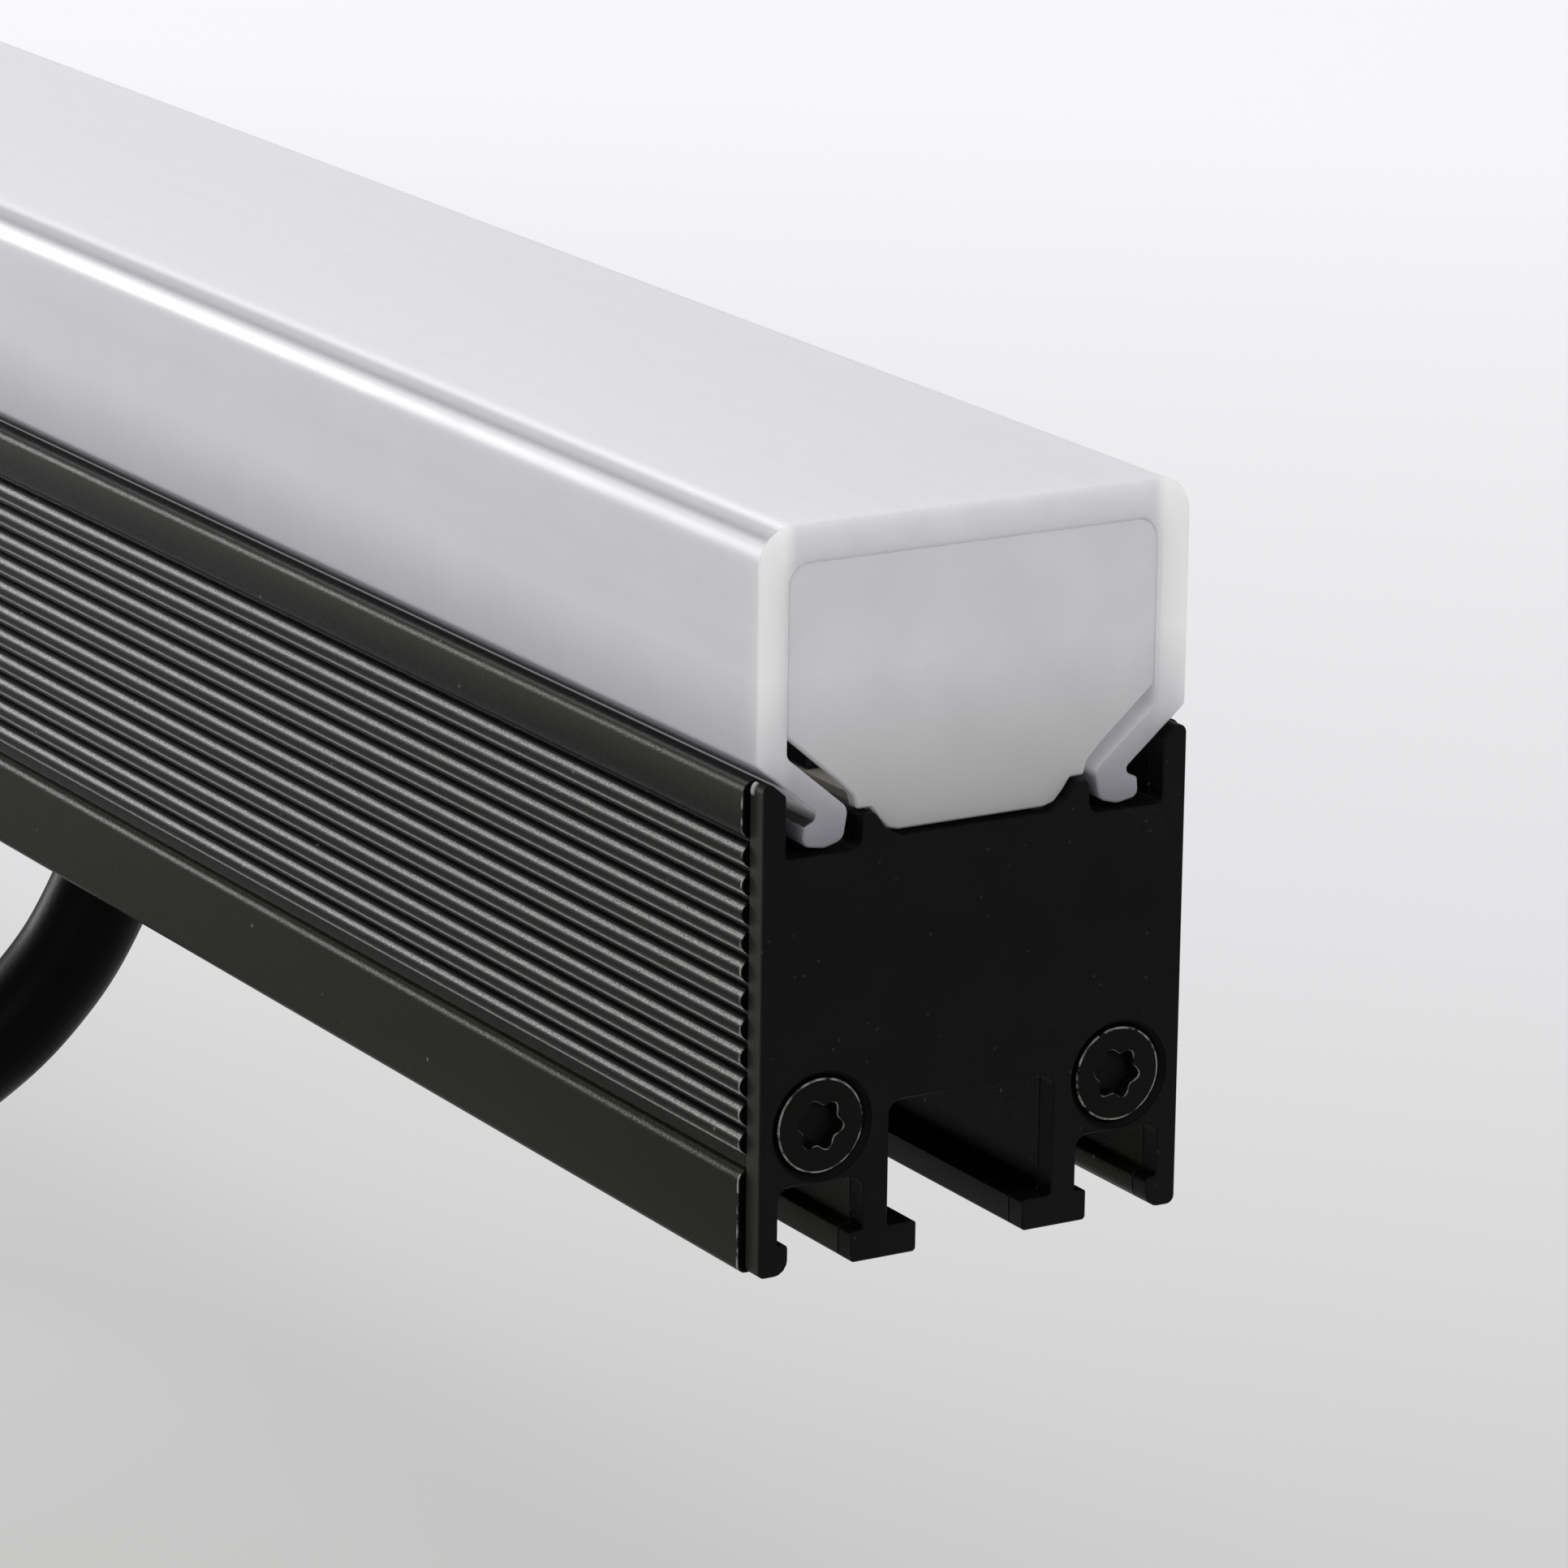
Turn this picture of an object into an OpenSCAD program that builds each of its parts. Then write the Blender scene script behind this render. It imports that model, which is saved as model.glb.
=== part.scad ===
// Outdoor linear wall washer light: a black grooved aluminium housing with an opal cover,
// flat end plates, a power lead out of its underside slot and two tilting slot brackets.
// The frame has X along the light, Z up, and its origin on the surface under its middle.

/* [Light] */
// Overall length over both end plates
light_len = 600; // [450:10:1200]
// Height from the housing's underside to the top of the opal cover
light_h = 45; // [41:0.5:55]

/* [Housing] */
// Width of the housing
bar_w = 30; // [28:0.5:40]
// Height of the housing to the top of its outer lips
bar_h = 30; // [29:0.5:36]
// Depth of the grooves in each side
groove_depth = 0.65; // [0.4:0.05:1]
// Radius of each rounded rib between two grooves
rib_r = 0.78; // [0.6:0.02:0.8]
// Distance from one rib to the next
rib_pitch = 1.74; // [1.7:0.01:2]
// Least height of the plain band above the ribs
top_band_h = 2.8; // [2:0.1:5]
// Height of the plain band under the ribs
low_band_h = 6.4; // [5:0.1:8]
// Groove between the plain band and the lowest rib
low_groove_h = 0.84; // [0.4:0.02:1.2]
// Width of the mouth of the middle slot
slot_mouth_w = 7.4; // [6:0.2:9]
// Width of the middle slot inside
slot_w = 11.4; // [10:0.2:13]
// Height of the middle slot's ceiling
slot_h = 9.6; // [8:0.1:10.5]
// Thickness of the lips at the mouths of the slots
slot_lip_t = 1.9; // [1.4:0.1:2.5]
// Thickness of the wall between the middle slot and a side slot
slot_wall_t = 1.7; // [1.2:0.1:2.2]
// Width of the mouth of a side slot
side_mouth_w = 4.3; // [3:0.1:5]
// Width of a side slot inside
side_slot_w = 5.8; // [5:0.1:7]
// Height of a side slot's ceiling
side_slot_h = 5.35; // [4:0.05:6]
// Thickness of the side wall beside a cover channel
lip_wall_t = 2.05; // [1.6:0.05:3]
// Depth of the cover channels below the outer lips
channel_depth = 4.8; // [3.5:0.05:6]
// Width of a cover channel at its floor
channel_w = 5.1; // [3.8:0.05:6]
// Depth of the bed that carries the lamp board
bed_depth = 4.35; // [3:0.05:6]
// Width of the bed
bed_w = 10.5; // [10:0.1:13]
// Depth of the tops of the ridges beside the bed
ridge_depth = 2.65; // [1.5:0.05:4]
// Width of the wiring chamber
chamber_w = 24; // [18:0.5:25]
// Thickness of the floor under the wiring chamber
chamber_floor_t = 2.15; // [1.2:0.05:4]

/* [End plates] */
// Thickness of an end plate
plate_t = 1.5; // [1.2:0.1:3]
// How far an end plate stays inside the housing's sides
plate_inset = 0.45; // [0.2:0.05:1]
// Distance of an end screw from the middle
screw_y = 10.3; // [9.8:0.1:10.8]
// Height of an end screw
screw_z = 8.8; // [8.3:0.1:9.4]
// Diameter of the end screws' thread
screw_d = 3; // [2.5:0.1:3.5]
// Length of the end screws
screw_len = 12; // [6:1:20]
// Diameter of the end screws' heads
head_d = 5.8; // [5:0.1:6.4]
// Diameter of the countersinks in the end plates
sink_d = 6.8; // [6:0.1:7.5]
// How deep the heads lie in their countersinks
head_sunk = 0.15; // [0.1:0.05:0.3]
// Diameter of the star socket in a head
star_d = 3.1; // [2:0.1:3.4]
// Depth of the star socket
star_depth = 0.9; // [0.5:0.1:1.4]

/* [Opal cover] */
// How far the cover is narrower than the housing on each side
cover_inset = 0.3; // [0.1:0.05:1]
// Thickness of the cover's side walls
cover_t = 2.05; // [1.5:0.05:3]
// Thickness of the cover's top
cover_top_t = 2.35; // [1.5:0.05:3]
// Radius of the cover's outer edges
cover_r = 2.3; // [1:0.1:4]
// Thickness of the legs that hold the cover
leg_t = 1.5; // [1:0.05:1.8]
// How far the cover ends inside the end plates' outer faces
cover_setback = 0.5; // [0.2:0.1:1.4]
// Thickness of the opal end plugs
plug_t = 1; // [0.8:0.1:4]
// How far the end plugs lie inside the cover
plug_recess = 0.2; // [0.1:0.1:4]
// How far the end plugs' slanted edges stand above the legs
plug_rise = 1.2; // [0.5:0.1:2.5]

/* [Lamp board] */
// Width of the lamp board
board_w = 10; // [8:0.2:12]
// Thickness of the lamp board
board_t = 1; // [0.8:0.1:2]
// Thickness of the heat tape under the board
tape_t = 0.1; // [0.1:0.05:0.5]
// Gap between the board and the end plates
board_gap = 0.5; // [0.5:0.5:5]
// Length of a light source
led_len = 3.5; // [2:0.1:4]
// Width of a light source
led_w = 2.8; // [2:0.1:4]
// Height of a light source
led_h = 0.7; // [0.5:0.1:1.5]
// Distance from one light source to the next
led_pitch = 12; // [10:0.5:20]

/* [Power lead] */
// Distance of the lead from the right-hand end
lead_from_end = 113; // [60:1:130]
// Diameter of the power lead
lead_d = 7.5; // [6:0.1:7.6]
// Diameter of the gland's collar under the slot's ceiling
gland_d = 11; // [9:0.2:11]
// Diameter of the gland's threaded neck
gland_neck_d = 8.5; // [7.8:0.1:9]
// Height of the gland's collar
gland_h = 4; // [3:0.5:5]
// Thickness of the gland's sealing ring
gland_seal_t = 0.5; // [0.4:0.1:1]
// Height of the gland's locknut
gland_nut_h = 3; // [2:0.5:4]
// Width of the gland's locknut across its flats
gland_nut_w = 12; // [11:0.5:14]
// Diameter of an inner wire
wire_d = 1.6; // [1:0.1:2.2]

/* [Brackets] */
// Distance between the two brackets
bracket_span = 190; // [150:5:240]
// Length of a foot plate along the light
foot_len = 52; // [48:1:70]
// Width of a foot plate
foot_w = 36; // [30:1:50]
// Thickness of a foot plate and of its ears
foot_t = 3; // [2:0.5:4]
// Radius of the corners of a foot plate
foot_r = 4; // [1:0.5:8]
// Distance between the two fixing slots of a foot
fix_span = 32; // [30:1:44]
// Width of a fixing slot
fix_w = 5.4; // [4.2:0.1:6]
// Length of a fixing slot, end to end
fix_len = 10; // [6.5:0.5:12]
// Height of the tilt pin above the surface
pivot_h = 17; // [15:0.5:25]
// Height of the housing above the tilt pin
pivot_drop = 17; // [16:0.5:24]
// Diameter of the tilt pin
pin_d = 5; // [4:0.5:6]
// Width of an ear at its rounded top
ear_w = 16; // [13:0.5:17]
// Width of a saddle's tongue
tongue_w = 15; // [12:0.5:16]
// Thickness of a saddle's tongue
tongue_t = 11.8; // [8:0.2:12]
// Length of a saddle plate
saddle_len = 44; // [42:1:60]
// Width of a saddle plate
saddle_w = 26; // [20:0.5:28]
// Thickness of a saddle plate
saddle_t = 3; // [2:0.5:4]
// Length of a slot nut
nut_len = 40; // [36:1:60]
// Thickness of a slot nut above the lips
nut_t = 5; // [3:0.5:6]
// Distance between the two clamp screws
clamp_span = 30; // [28:1:32]
// Diameter of the clamp screws
clamp_d = 4; // [3:0.5:4]
// Diameter of the clamp screws' heads
clamp_head_d = 7; // [5:0.5:7]
// Height of the clamp screws' heads
clamp_head_h = 4; // [2:0.5:4]
// Thickness of the steel washers
washer_t = 1; // [0.5:0.1:1.5]
// Thickness of the friction washers beside the tongue
friction_t = 0.5; // [0.3:0.1:1]
// Diameter of the washers
washer_d = 10; // [8:0.5:12]
// Width of the tilt pin's head and nut across their flats
hex_w = 8; // [7:0.5:10]
// Height of the tilt pin's head
hex_head_h = 3.5; // [2:0.5:5]
// Height of the tilt pin's nut
hex_nut_h = 5; // [3:0.5:6]

/* [Connector] */
// Diameter of the coupling ring
ring_d = 18; // [17:0.5:24]
// Length of the coupling ring
ring_len = 20; // [14:0.5:24]
// Diameter of the connector's grip
grip_d = 13; // [12:0.5:15]
// Length of the connector's grip
grip_len = 14; // [8:0.5:20]
// Diameter of the bend relief where the lead enters it
relief_d = 9.6; // [8.5:0.1:12]
// Length of the bend relief
relief_len = 22; // [12:1:30]
// Diameter of the connector's nose
nose_d = 13; // [12:0.1:13.4]
// Length of the connector's nose in front of the coupling ring's shoulder
nose_len = 16.5; // [14:0.5:19]
// Thickness of the nose's wall
nose_t = 1.4; // [1:0.1:2]
// Diameter of a contact pin
contact_d = 1.6; // [1:0.1:2]
// Number of contact pins
contact_count = 3; // [2:1:4]

/* [Hidden] */

$fn = 48;
// How far a cut runs past the face it leaves
past = 1;
// Gap around a thread in its hole
thread_gap = 0.05;
// Gap around a part that moves in the slot or under the housing
slide_gap = 0.15;
// Gap around the tilt pin in the tongue
pin_gap = 0.08;
// Gap between the cover and what it touches
cover_gap = 0.08;
// Steps of an arc of half a turn on a rib
rib_steps = 8;
// Sides of the lead's and the wires' tubes
lead_sides = 10;
wire_sides = 8;

// Places worked out from the sizes above
bar_z = pivot_h + pivot_drop;
half = bar_w/2;
bar_len = light_len - 2*plate_t;
plate_half = half - plate_inset;
lead_x = light_len/2 - lead_from_end;
bracket_x = bracket_span/2;

// Small sizes of the housing's outline
lip_w = 0.8;
lip_cut = 0.45;
lip_slope = 0.9;
slot_round = 0.8;
corner_round = 0.5;
ridge_w = 0.8;
ridge_run = 0.1;
bed_t = 2.3;
chamber_r = 1.5;
mouth_share = 0.53;
channel_z = bar_h - channel_depth;
bed_z = bar_h - bed_depth;
ridge_z = bar_h - ridge_depth;
chamber_top = bed_z - bed_t;
chamber_z = slot_h + chamber_floor_t;
lip_in = half - lip_wall_t;
channel_in = lip_in - channel_w;
ridge_out = channel_in - ridge_run;
ridge_in = ridge_out - ridge_w;
side_in = slot_w/2 + slot_wall_t;
side_out = side_in + side_slot_w;
mouth_in = side_in + (side_slot_w - side_mouth_w)*mouth_share;
mouth_out = mouth_in + side_mouth_w;

// Small sizes of the screws and seals at the ends
port_d = screw_d + 4*thread_gap;
star_share = 0.12;
star_sides = 36;
star_tip_count = 6;
chamber_seal_t = 5;

// Points of an arc from one angle to another round a centre
function arc(centre, r, from, to, steps = 6) = [
  for (i = [0:steps])
    let (a = from + (to - from)*i/steps)
      centre + r*[cos(a), sin(a)]
];
// An outline that is the same on both sides, from its right-hand points
function both_sides(points) = concat(
  points,
  [for (i = [len(points) - 1:-1:0]) [-points[i][0], points[i][1]]]
);
// A rectangle with round corners, centred on x = 0, from its lower to its upper edge
function round_box(w, low, high, r) = both_sides(concat(
  arc([w/2 - r, low + r], r, -90, 0),
  arc([w/2 - r, high - r], r, 0, 90)
));

// The ribbed side: each rib is an arc that rises from the groove's floor and falls back to it
rib_turn = acos((rib_r - groove_depth)/rib_r);
rib_reach = rib_r*sin(rib_turn);
low_rib_z = low_band_h - rib_r + 2*rib_reach + low_groove_h;
rib_count = floor((bar_h - top_band_h - low_rib_z)/rib_pitch);
function rib_arc(z, from, to) = arc([half - rib_r, z], rib_r, from, to, rib_steps);
ribbed_side = concat(
  rib_arc(low_band_h - rib_r, 0, rib_turn),
  [for (k = [0:rib_count - 1]) each rib_arc(low_rib_z + k*rib_pitch, -rib_turn, rib_turn)],
  rib_arc(low_rib_z + rib_count*rib_pitch, -rib_turn, 0)
);
// The outer lip, the cover channel, the ridge and the bed, for a side at a given distance
function top_side(side) = [
  [side, bar_h - lip_cut],
  [half - lip_w, bar_h],
  [lip_in, bar_h - lip_slope],
  [lip_in, channel_z],
  [channel_in, channel_z],
  [ridge_out, ridge_z],
  [ridge_in, ridge_z],
  [bed_w/2, bed_z]
];
function bar_outline(side, middle) = both_sides(concat(
  arc([side - corner_round, corner_round], corner_round, -90, 0),
  middle,
  top_side(side)
));

// The lamp board, its light sources and the free spots between them
board_len = bar_len - 2*board_gap;
board_z = bed_z + tape_t;
board_top = board_z + board_t;
guard_len = 9;
guard_w = 9.6;
guard_h = 2.2;
guard_in = 9.5;
guard_x = board_len/2 - guard_in - guard_len/2;
board_head_d = 4.4;
board_end = guard_in + guard_len + board_head_d/2 + corner_round;
led_rows = floor((board_len/2 - board_end)/led_pitch);
board_screw_x = led_rows*led_pitch;
board_screw_d = 2.5;
board_head_h = 1.2;
wire_spot = floor(lead_x/led_pitch);
wire_x = wire_spot*led_pitch;
wire_hole_d = 5.6;
wire_y = 1.4;
wire_bend_share = 0.35;
wire_turn_share = 0.33;
spot_step_count = 6;
chip_start_count = 4;
resistor_start_count = 1;
half_pitch_share = 0.5;
chip_len = 5;
chip_w = 4;
chip_h = 1.5;
resistor_len = 3.2;
resistor_w = 1.6;
resistor_h = 0.6;
terminal_len = 7;
terminal_w = 7;
terminal_h = 4;
terminal_x = wire_x - led_pitch;
function free_spots(first) = [
  for (k = [first - led_rows:spot_step_count:led_rows - 1])
    if (k != 0 && k != wire_spot && k != wire_spot - 1) k*led_pitch
];

// The gland, from the slot's ceiling down and up into the wiring chamber
gland_sleeve_h = 1.1;
gland_sleeve_d = 9.2;
gland_thread_spare = 1.5;
gland_collar_z = slot_h - gland_seal_t;
gland_seal_d = gland_d - 2*slot_round;
gland_top = chamber_z + gland_nut_h + gland_thread_spare;
gland_notch_d = gland_d + 2*slide_gap;
gland_foot = gland_collar_z - gland_h - gland_sleeve_h;

// The tilting bracket, measured along the light from its own middle
ear_in = tongue_t/2 + slide_gap + friction_t;
ear_out = ear_in + foot_t;
pin_head_x = ear_out + washer_t;
pin_spare = 1;
ear_foot_w = 24;
saddle_top = bar_z - slide_gap;
saddle_z = saddle_top - saddle_t;
saddle_r = 3;
guide_w = side_mouth_w - 4*slide_gap;
guide_h = slot_lip_t - 2*slide_gap;
guide_len = saddle_len - 2*saddle_r;
nut_low_z = bar_z + slot_lip_t + slide_gap;
nut_w = slot_w - 2*slide_gap;
nut_neck_w = slot_mouth_w - 2*slide_gap;
clamp_hole_d = clamp_d + 4*slide_gap;
clamp_tip_z = nut_low_z + nut_t - thread_gap;
clamp_key_d = 3.6;
clamp_key_depth = 2;

// The lead's middle line, from the gland down to the surface and along it to the connector
lead_points = [
  [187, 0, 38], [186.7, -0.8, 31.1], [185.8, -3, 24.5], [184.4, -6.5, 18.6], [182.4, -11, 13.7],
  [179.4, -15.9, 9.7], [175.4, -20.8, 6.7], [170.6, -25.5, 4.8], [165.1, -29.7, 3.95],
  [159, -33.1, 3.8], [152.4, -35.4, 3.8], [145.4, -36.5, 3.8], [130, -37.2, 3.8],
  [112, -38.3, 3.8], [94, -39.8, 3.8], [76, -41.1, 3.8], [58, -41.7, 3.8], [40, -41.5, 3.8],
  [22, -40.8, 3.8], [4, -40, 3.8], [-14, -39.6, 3.8], [-32, -39.8, 3.8], [-50, -40.4, 3.8],
  [-68, -40.9, 3.8], [-86, -41, 4], [-102, -41, 4.6], [-116, -41, 5.6], [-130, -41, 7],
  [-143, -41, 8.2], [-155, -41, 8.8], [-166, -41, 9], [-174, -41, 9]
];
// The hanging stretch follows the gland, and the last one the connector
lead_hang_count = 9;
lead_lift_count = 7;
lead_last = len(lead_points) - 1;
plug_at = [lead_points[lead_last][0], lead_points[lead_last][1], ring_d/2];
gland_shift = [lead_x, 0, bar_z + gland_foot] - lead_points[0];
plug_shift = plug_at - lead_points[lead_last];
lead_route = [
  for (i = [0:lead_last])
    lead_points[i] + gland_shift*max(0, 1 - i/lead_hang_count)
      + plug_shift*max(0, 1 - (lead_last - i)/lead_lift_count)
];

// The connector, measured from where the lead enters it
shoulder_h = 2;
shoulder_d = 14.4;
neck_d = 11.2;
ring_gap = 0.3;
ring_lip_t = 2;
ring_bore_d = 14.4;
knurl_count = 20;
knurl_r = 0.5;
grip_end = relief_len + grip_len;
ring_z = grip_end + shoulder_h + ring_gap;
nose_z = ring_z + ring_lip_t + ring_gap;
nose_end = nose_z + nose_len;
socket_depth = 13;
insert_t = 2;
contact_reach = 5.5;
contact_circle_d = 5.4;
seal_d = 1.6;
seal_rise = 1;
seal_z = nose_z + seal_rise;
seal_circle_d = nose_d - seal_d/2;
seal_seat_d = seal_circle_d - seal_d - 2*thread_gap;
key_w = 1.6;
key_depth = 0.7;
relief_ring_count = 5;
relief_cut = 0.7;

// A tube of one radius that follows a route; across is any direction that no stretch runs along
function unit(v) = v/norm(v);
function heading(route, i) =
  unit(route[min(i + 1, len(route) - 1)] - route[max(i - 1, 0)]);
module tube(route, r, sides, across, start, end) {
  points = [
    for (i = [0:len(route) - 1])
      let (
        t = i == 0 ? start : i == len(route) - 1 ? end : heading(route, i),
        u = unit(cross(t, across)),
        v = cross(t, u)
      )
      for (k = [0:sides - 1])
        route[i] + r*cos(360*k/sides)*u + r*sin(360*k/sides)*v
  ];
  last = (len(route) - 1)*sides;
  polyhedron(points, concat(
    [[for (k = [sides - 1:-1:0]) k]],
    [for (i = [0:len(route) - 2], k = [0:sides - 1])
      [i*sides + k, i*sides + (k + 1)%sides, (i + 1)*sides + (k + 1)%sides, (i + 1)*sides + k]],
    [[for (k = [0:sides - 1]) last + k]]
  ));
}

// An outline in Y and Z, run along X on the housing
module run_x(from, to) {
  translate([from, 0, bar_z]) rotate([90, 0, 90]) linear_extrude(to - from) children();
}
// A straight slot with round ends, along X
module slot_2d(length, width) {
  square([length - width, width], center = true);
  for (s = [-1, 1]) translate([s*(length - width)/2, 0]) circle(d = width);
}
module ring(outer, inner, height) {
  linear_extrude(height) difference() {
    circle(d = outer);
    circle(d = inner);
  }
}
// A hexagon across its flats
module hexagon(width, height) {
  cylinder(d = width/cos(30), h = height, $fn = 6);
}
// Both sides of the light
module each_side() {
  children();
  mirror([0, 1, 0]) children();
}

module middle_slot_2d() {
  polygon(both_sides(concat(
    [[slot_mouth_w/2, -past], [slot_mouth_w/2, slot_lip_t], [slot_w/2, slot_lip_t]],
    arc([slot_w/2 - slot_round, slot_h - slot_round], slot_round, 0, 90)
  )));
}
module side_slot_2d() {
  polygon(concat(
    [[mouth_in, -past], [mouth_in, slot_lip_t], [side_in, slot_lip_t]],
    arc([side_in + slot_round, side_slot_h - slot_round], slot_round, 180, 90),
    arc([side_out - slot_round, side_slot_h - slot_round], slot_round, 90, 0),
    [[side_out, slot_lip_t], [mouth_out, slot_lip_t], [mouth_out, -past]]
  ));
}
module underside_slots_2d() {
  middle_slot_2d();
  side_slot_2d();
  mirror([1, 0]) side_slot_2d();
}
module chamber_2d(inset) {
  polygon(round_box(
    chamber_w - 2*inset, chamber_z + inset, chamber_top - inset, chamber_r - inset
  ));
}

module housing() {
  color([0.11, 0.11, 0.1]) difference() {
    run_x(-bar_len/2, bar_len/2) difference() {
      polygon(bar_outline(half, ribbed_side));
      underside_slots_2d();
      chamber_2d(0);
      for (s = [-1, 1]) translate([s*screw_y, screw_z]) circle(d = port_d);
    }
    translate([lead_x, 0, bar_z - past])
      cylinder(d = gland_notch_d, h = slot_lip_t + 2*past);
    translate([lead_x, 0, bar_z + slot_h - past])
      cylinder(d = gland_neck_d + 2*thread_gap, h = chamber_z - slot_h + 2*past);
    bed_holes(bar_z + chamber_top - past, bed_t + 2*past, board_screw_d + 2*thread_gap);
  }
}
// The holes for the wires and the board's screws, as cutters from one height up
module bed_holes(z, height, screw_hole) {
  translate([wire_x, 0, z]) cylinder(d = wire_hole_d, h = height);
  for (x = [-board_screw_x, 0, board_screw_x]) translate([x, 0, z]) cylinder(d = screw_hole, h = height);
}

// An end plate with its outer face at x = 0 and the light behind it
module end_plate() {
  color([0.09, 0.09, 0.09]) difference() {
    run_x(-plate_t, 0) difference() {
      polygon(bar_outline(plate_half, []));
      underside_slots_2d();
    }
    each_side() translate([-plate_t, screw_y, bar_z + screw_z]) rotate([0, 90, 0]) {
      translate([0, 0, -past]) cylinder(d = port_d, h = plate_t + 2*past);
      cylinder(d1 = port_d + 4*thread_gap, d2 = sink_d, h = plate_t);
    }
  }
}
// A countersunk star screw along X with its head's face at x = 0
module end_screw() {
  head_h = (head_d - screw_d)/2;
  color([0.06, 0.06, 0.06]) difference() {
    rotate([0, 90, 0]) union() {
      translate([0, 0, -screw_len]) cylinder(d = screw_d, h = screw_len);
      translate([0, 0, -head_h]) cylinder(d1 = screw_d, d2 = head_d, h = head_h);
    }
    translate([-star_depth, 0, 0]) rotate([90, 0, 90]) linear_extrude(star_depth + past)
      polygon([for (i = [0:star_sides - 1])
        let (a = 360*i/star_sides)
          star_d/2*(1 - star_share*(1 - cos(star_tip_count*a)))*[cos(a), sin(a)]]);
  }
}
module end_screws() {
  each_side() translate([-head_sunk, screw_y, bar_z + screw_z]) end_screw();
}
module chamber_seal() {
  color([0.2, 0.2, 0.2]) run_x(-plate_t - chamber_seal_t, -plate_t) chamber_2d(thread_gap);
}
module at_right_end() {
  translate([light_len/2, 0, 0]) children();
}
module at_left_end() {
  mirror([1, 0, 0]) at_right_end() children();
}

// The opal cover: a box with round upper edges whose legs slope in to hooked feet
cover_half = half - cover_inset;
cover_in = cover_half - cover_t;
wall_rise = 1;
shoulder_in = 0.9;
shoulder_rise = 0.25;
ankle_out = 2.6;
ankle_rise = 2.2;
leg_start = [cover_half - shoulder_in, bar_h + shoulder_rise];
leg_end = [channel_in + ankle_out, channel_z + ankle_rise];
leg_way = unit(leg_start - leg_end);
leg_side = leg_t*[-leg_way[1], leg_way[0]];
leg_fall = leg_way[1]/leg_way[0];
leg_inner_z = leg_start[1] + leg_side[1] - (leg_start[0] + leg_side[0] - cover_in)*leg_fall;
hook_tip = 3.7;
hook_h = 1.7;
hook_r = 0.4;
heel_in = 0.7;
heel_h = 0.7;
cover_outline = both_sides(concat(
  arc([cover_half - cover_r, light_h - cover_r], cover_r, 90, 0, 8),
  [
    [cover_half, bar_h + wall_rise],
    leg_start,
    leg_end,
    [channel_in + hook_tip - hook_r, channel_z + hook_h],
    [channel_in + hook_tip, channel_z + hook_h - hook_r],
    [channel_in + hook_tip, channel_z + hook_r + cover_gap],
    [channel_in + hook_tip - hook_r, channel_z + cover_gap],
    [channel_in + heel_in + heel_h, channel_z + cover_gap],
    [channel_in + heel_in, channel_z + heel_h],
    [channel_in + heel_in, leg_inner_z - (cover_in - channel_in - heel_in)*leg_fall],
    [cover_in, leg_inner_z],
    [cover_in, light_h - cover_top_t]
  ]
));
module opal_cover() {
  color([0.86, 0.86, 0.88])
    run_x(cover_setback - light_len/2, light_len/2 - cover_setback) polygon(cover_outline);
}
plug_half = cover_in - cover_gap;
plug_lift = 0.2;
plug_side_z = leg_inner_z + plug_rise;
plug_foot_out = 0.5;
plug_foot = [bed_w/2 + plug_foot_out, board_top + plug_lift];
plug_toe_z = ridge_z + 2*cover_gap;
plug_knee = [channel_in, plug_side_z - (plug_half - channel_in)*leg_fall];
plug_r = 1.5;
module end_plug() {
  color([0.75, 0.75, 0.76])
    run_x(-cover_setback - plug_recess - plug_t, -cover_setback - plug_recess)
      polygon(both_sides(concat(
        [plug_foot, [ridge_in, plug_toe_z], [ridge_out, plug_toe_z], plug_knee, [plug_half, plug_side_z]],
        arc([plug_half - plug_r, light_h - cover_top_t - cover_gap - plug_r], plug_r, 0, 90)
      )));
}

module lamp_board() {
  color([0.88, 0.86, 0.76]) difference() {
    translate([-board_len/2, -board_w/2, bar_z + board_z]) cube([board_len, board_w, board_t]);
    bed_holes(bar_z + board_z - past, board_t + 2*past, board_screw_d + 2*thread_gap);
  }
}
module heat_tape() {
  color([0.6, 0.6, 0.62]) difference() {
    translate([-board_len/2, -board_w/2, bar_z + bed_z]) cube([board_len, board_w, tape_t]);
    bed_holes(bar_z + bed_z - past, tape_t + 2*past, board_screw_d + 2*thread_gap);
  }
}
module on_board(x, size) {
  translate([x - size[0]/2, -size[1]/2, bar_z + board_top]) cube(size);
}
module light_sources() {
  color([0.95, 0.85, 0.45]) for (k = [0:led_rows - 1], s = [-1, 1])
    on_board(s*(k + half_pitch_share)*led_pitch, [led_len, led_w, led_h]);
}
module driver_chips() {
  color([0.1, 0.1, 0.1]) for (x = free_spots(chip_start_count)) on_board(x, [chip_len, chip_w, chip_h]);
}
module board_resistors() {
  color([0.15, 0.15, 0.18]) for (x = free_spots(resistor_start_count))
    on_board(x, [resistor_len, resistor_w, resistor_h]);
}
module surge_blocks() {
  color([0.12, 0.12, 0.12]) for (s = [-1, 1]) on_board(s*guard_x, [guard_len, guard_w, guard_h]);
}
module board_screws() {
  color([0.7, 0.7, 0.7]) for (x = [-board_screw_x, 0, board_screw_x])
    translate([x, 0, bar_z + chamber_top]) {
      cylinder(d = board_screw_d, h = board_top - chamber_top);
      translate([0, 0, board_top - chamber_top]) cylinder(d = board_head_d, h = board_head_h);
    }
}
module wire_terminal() {
  color([0.95, 0.95, 0.92]) on_board(terminal_x, [terminal_len, terminal_w, terminal_h]);
}
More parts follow.
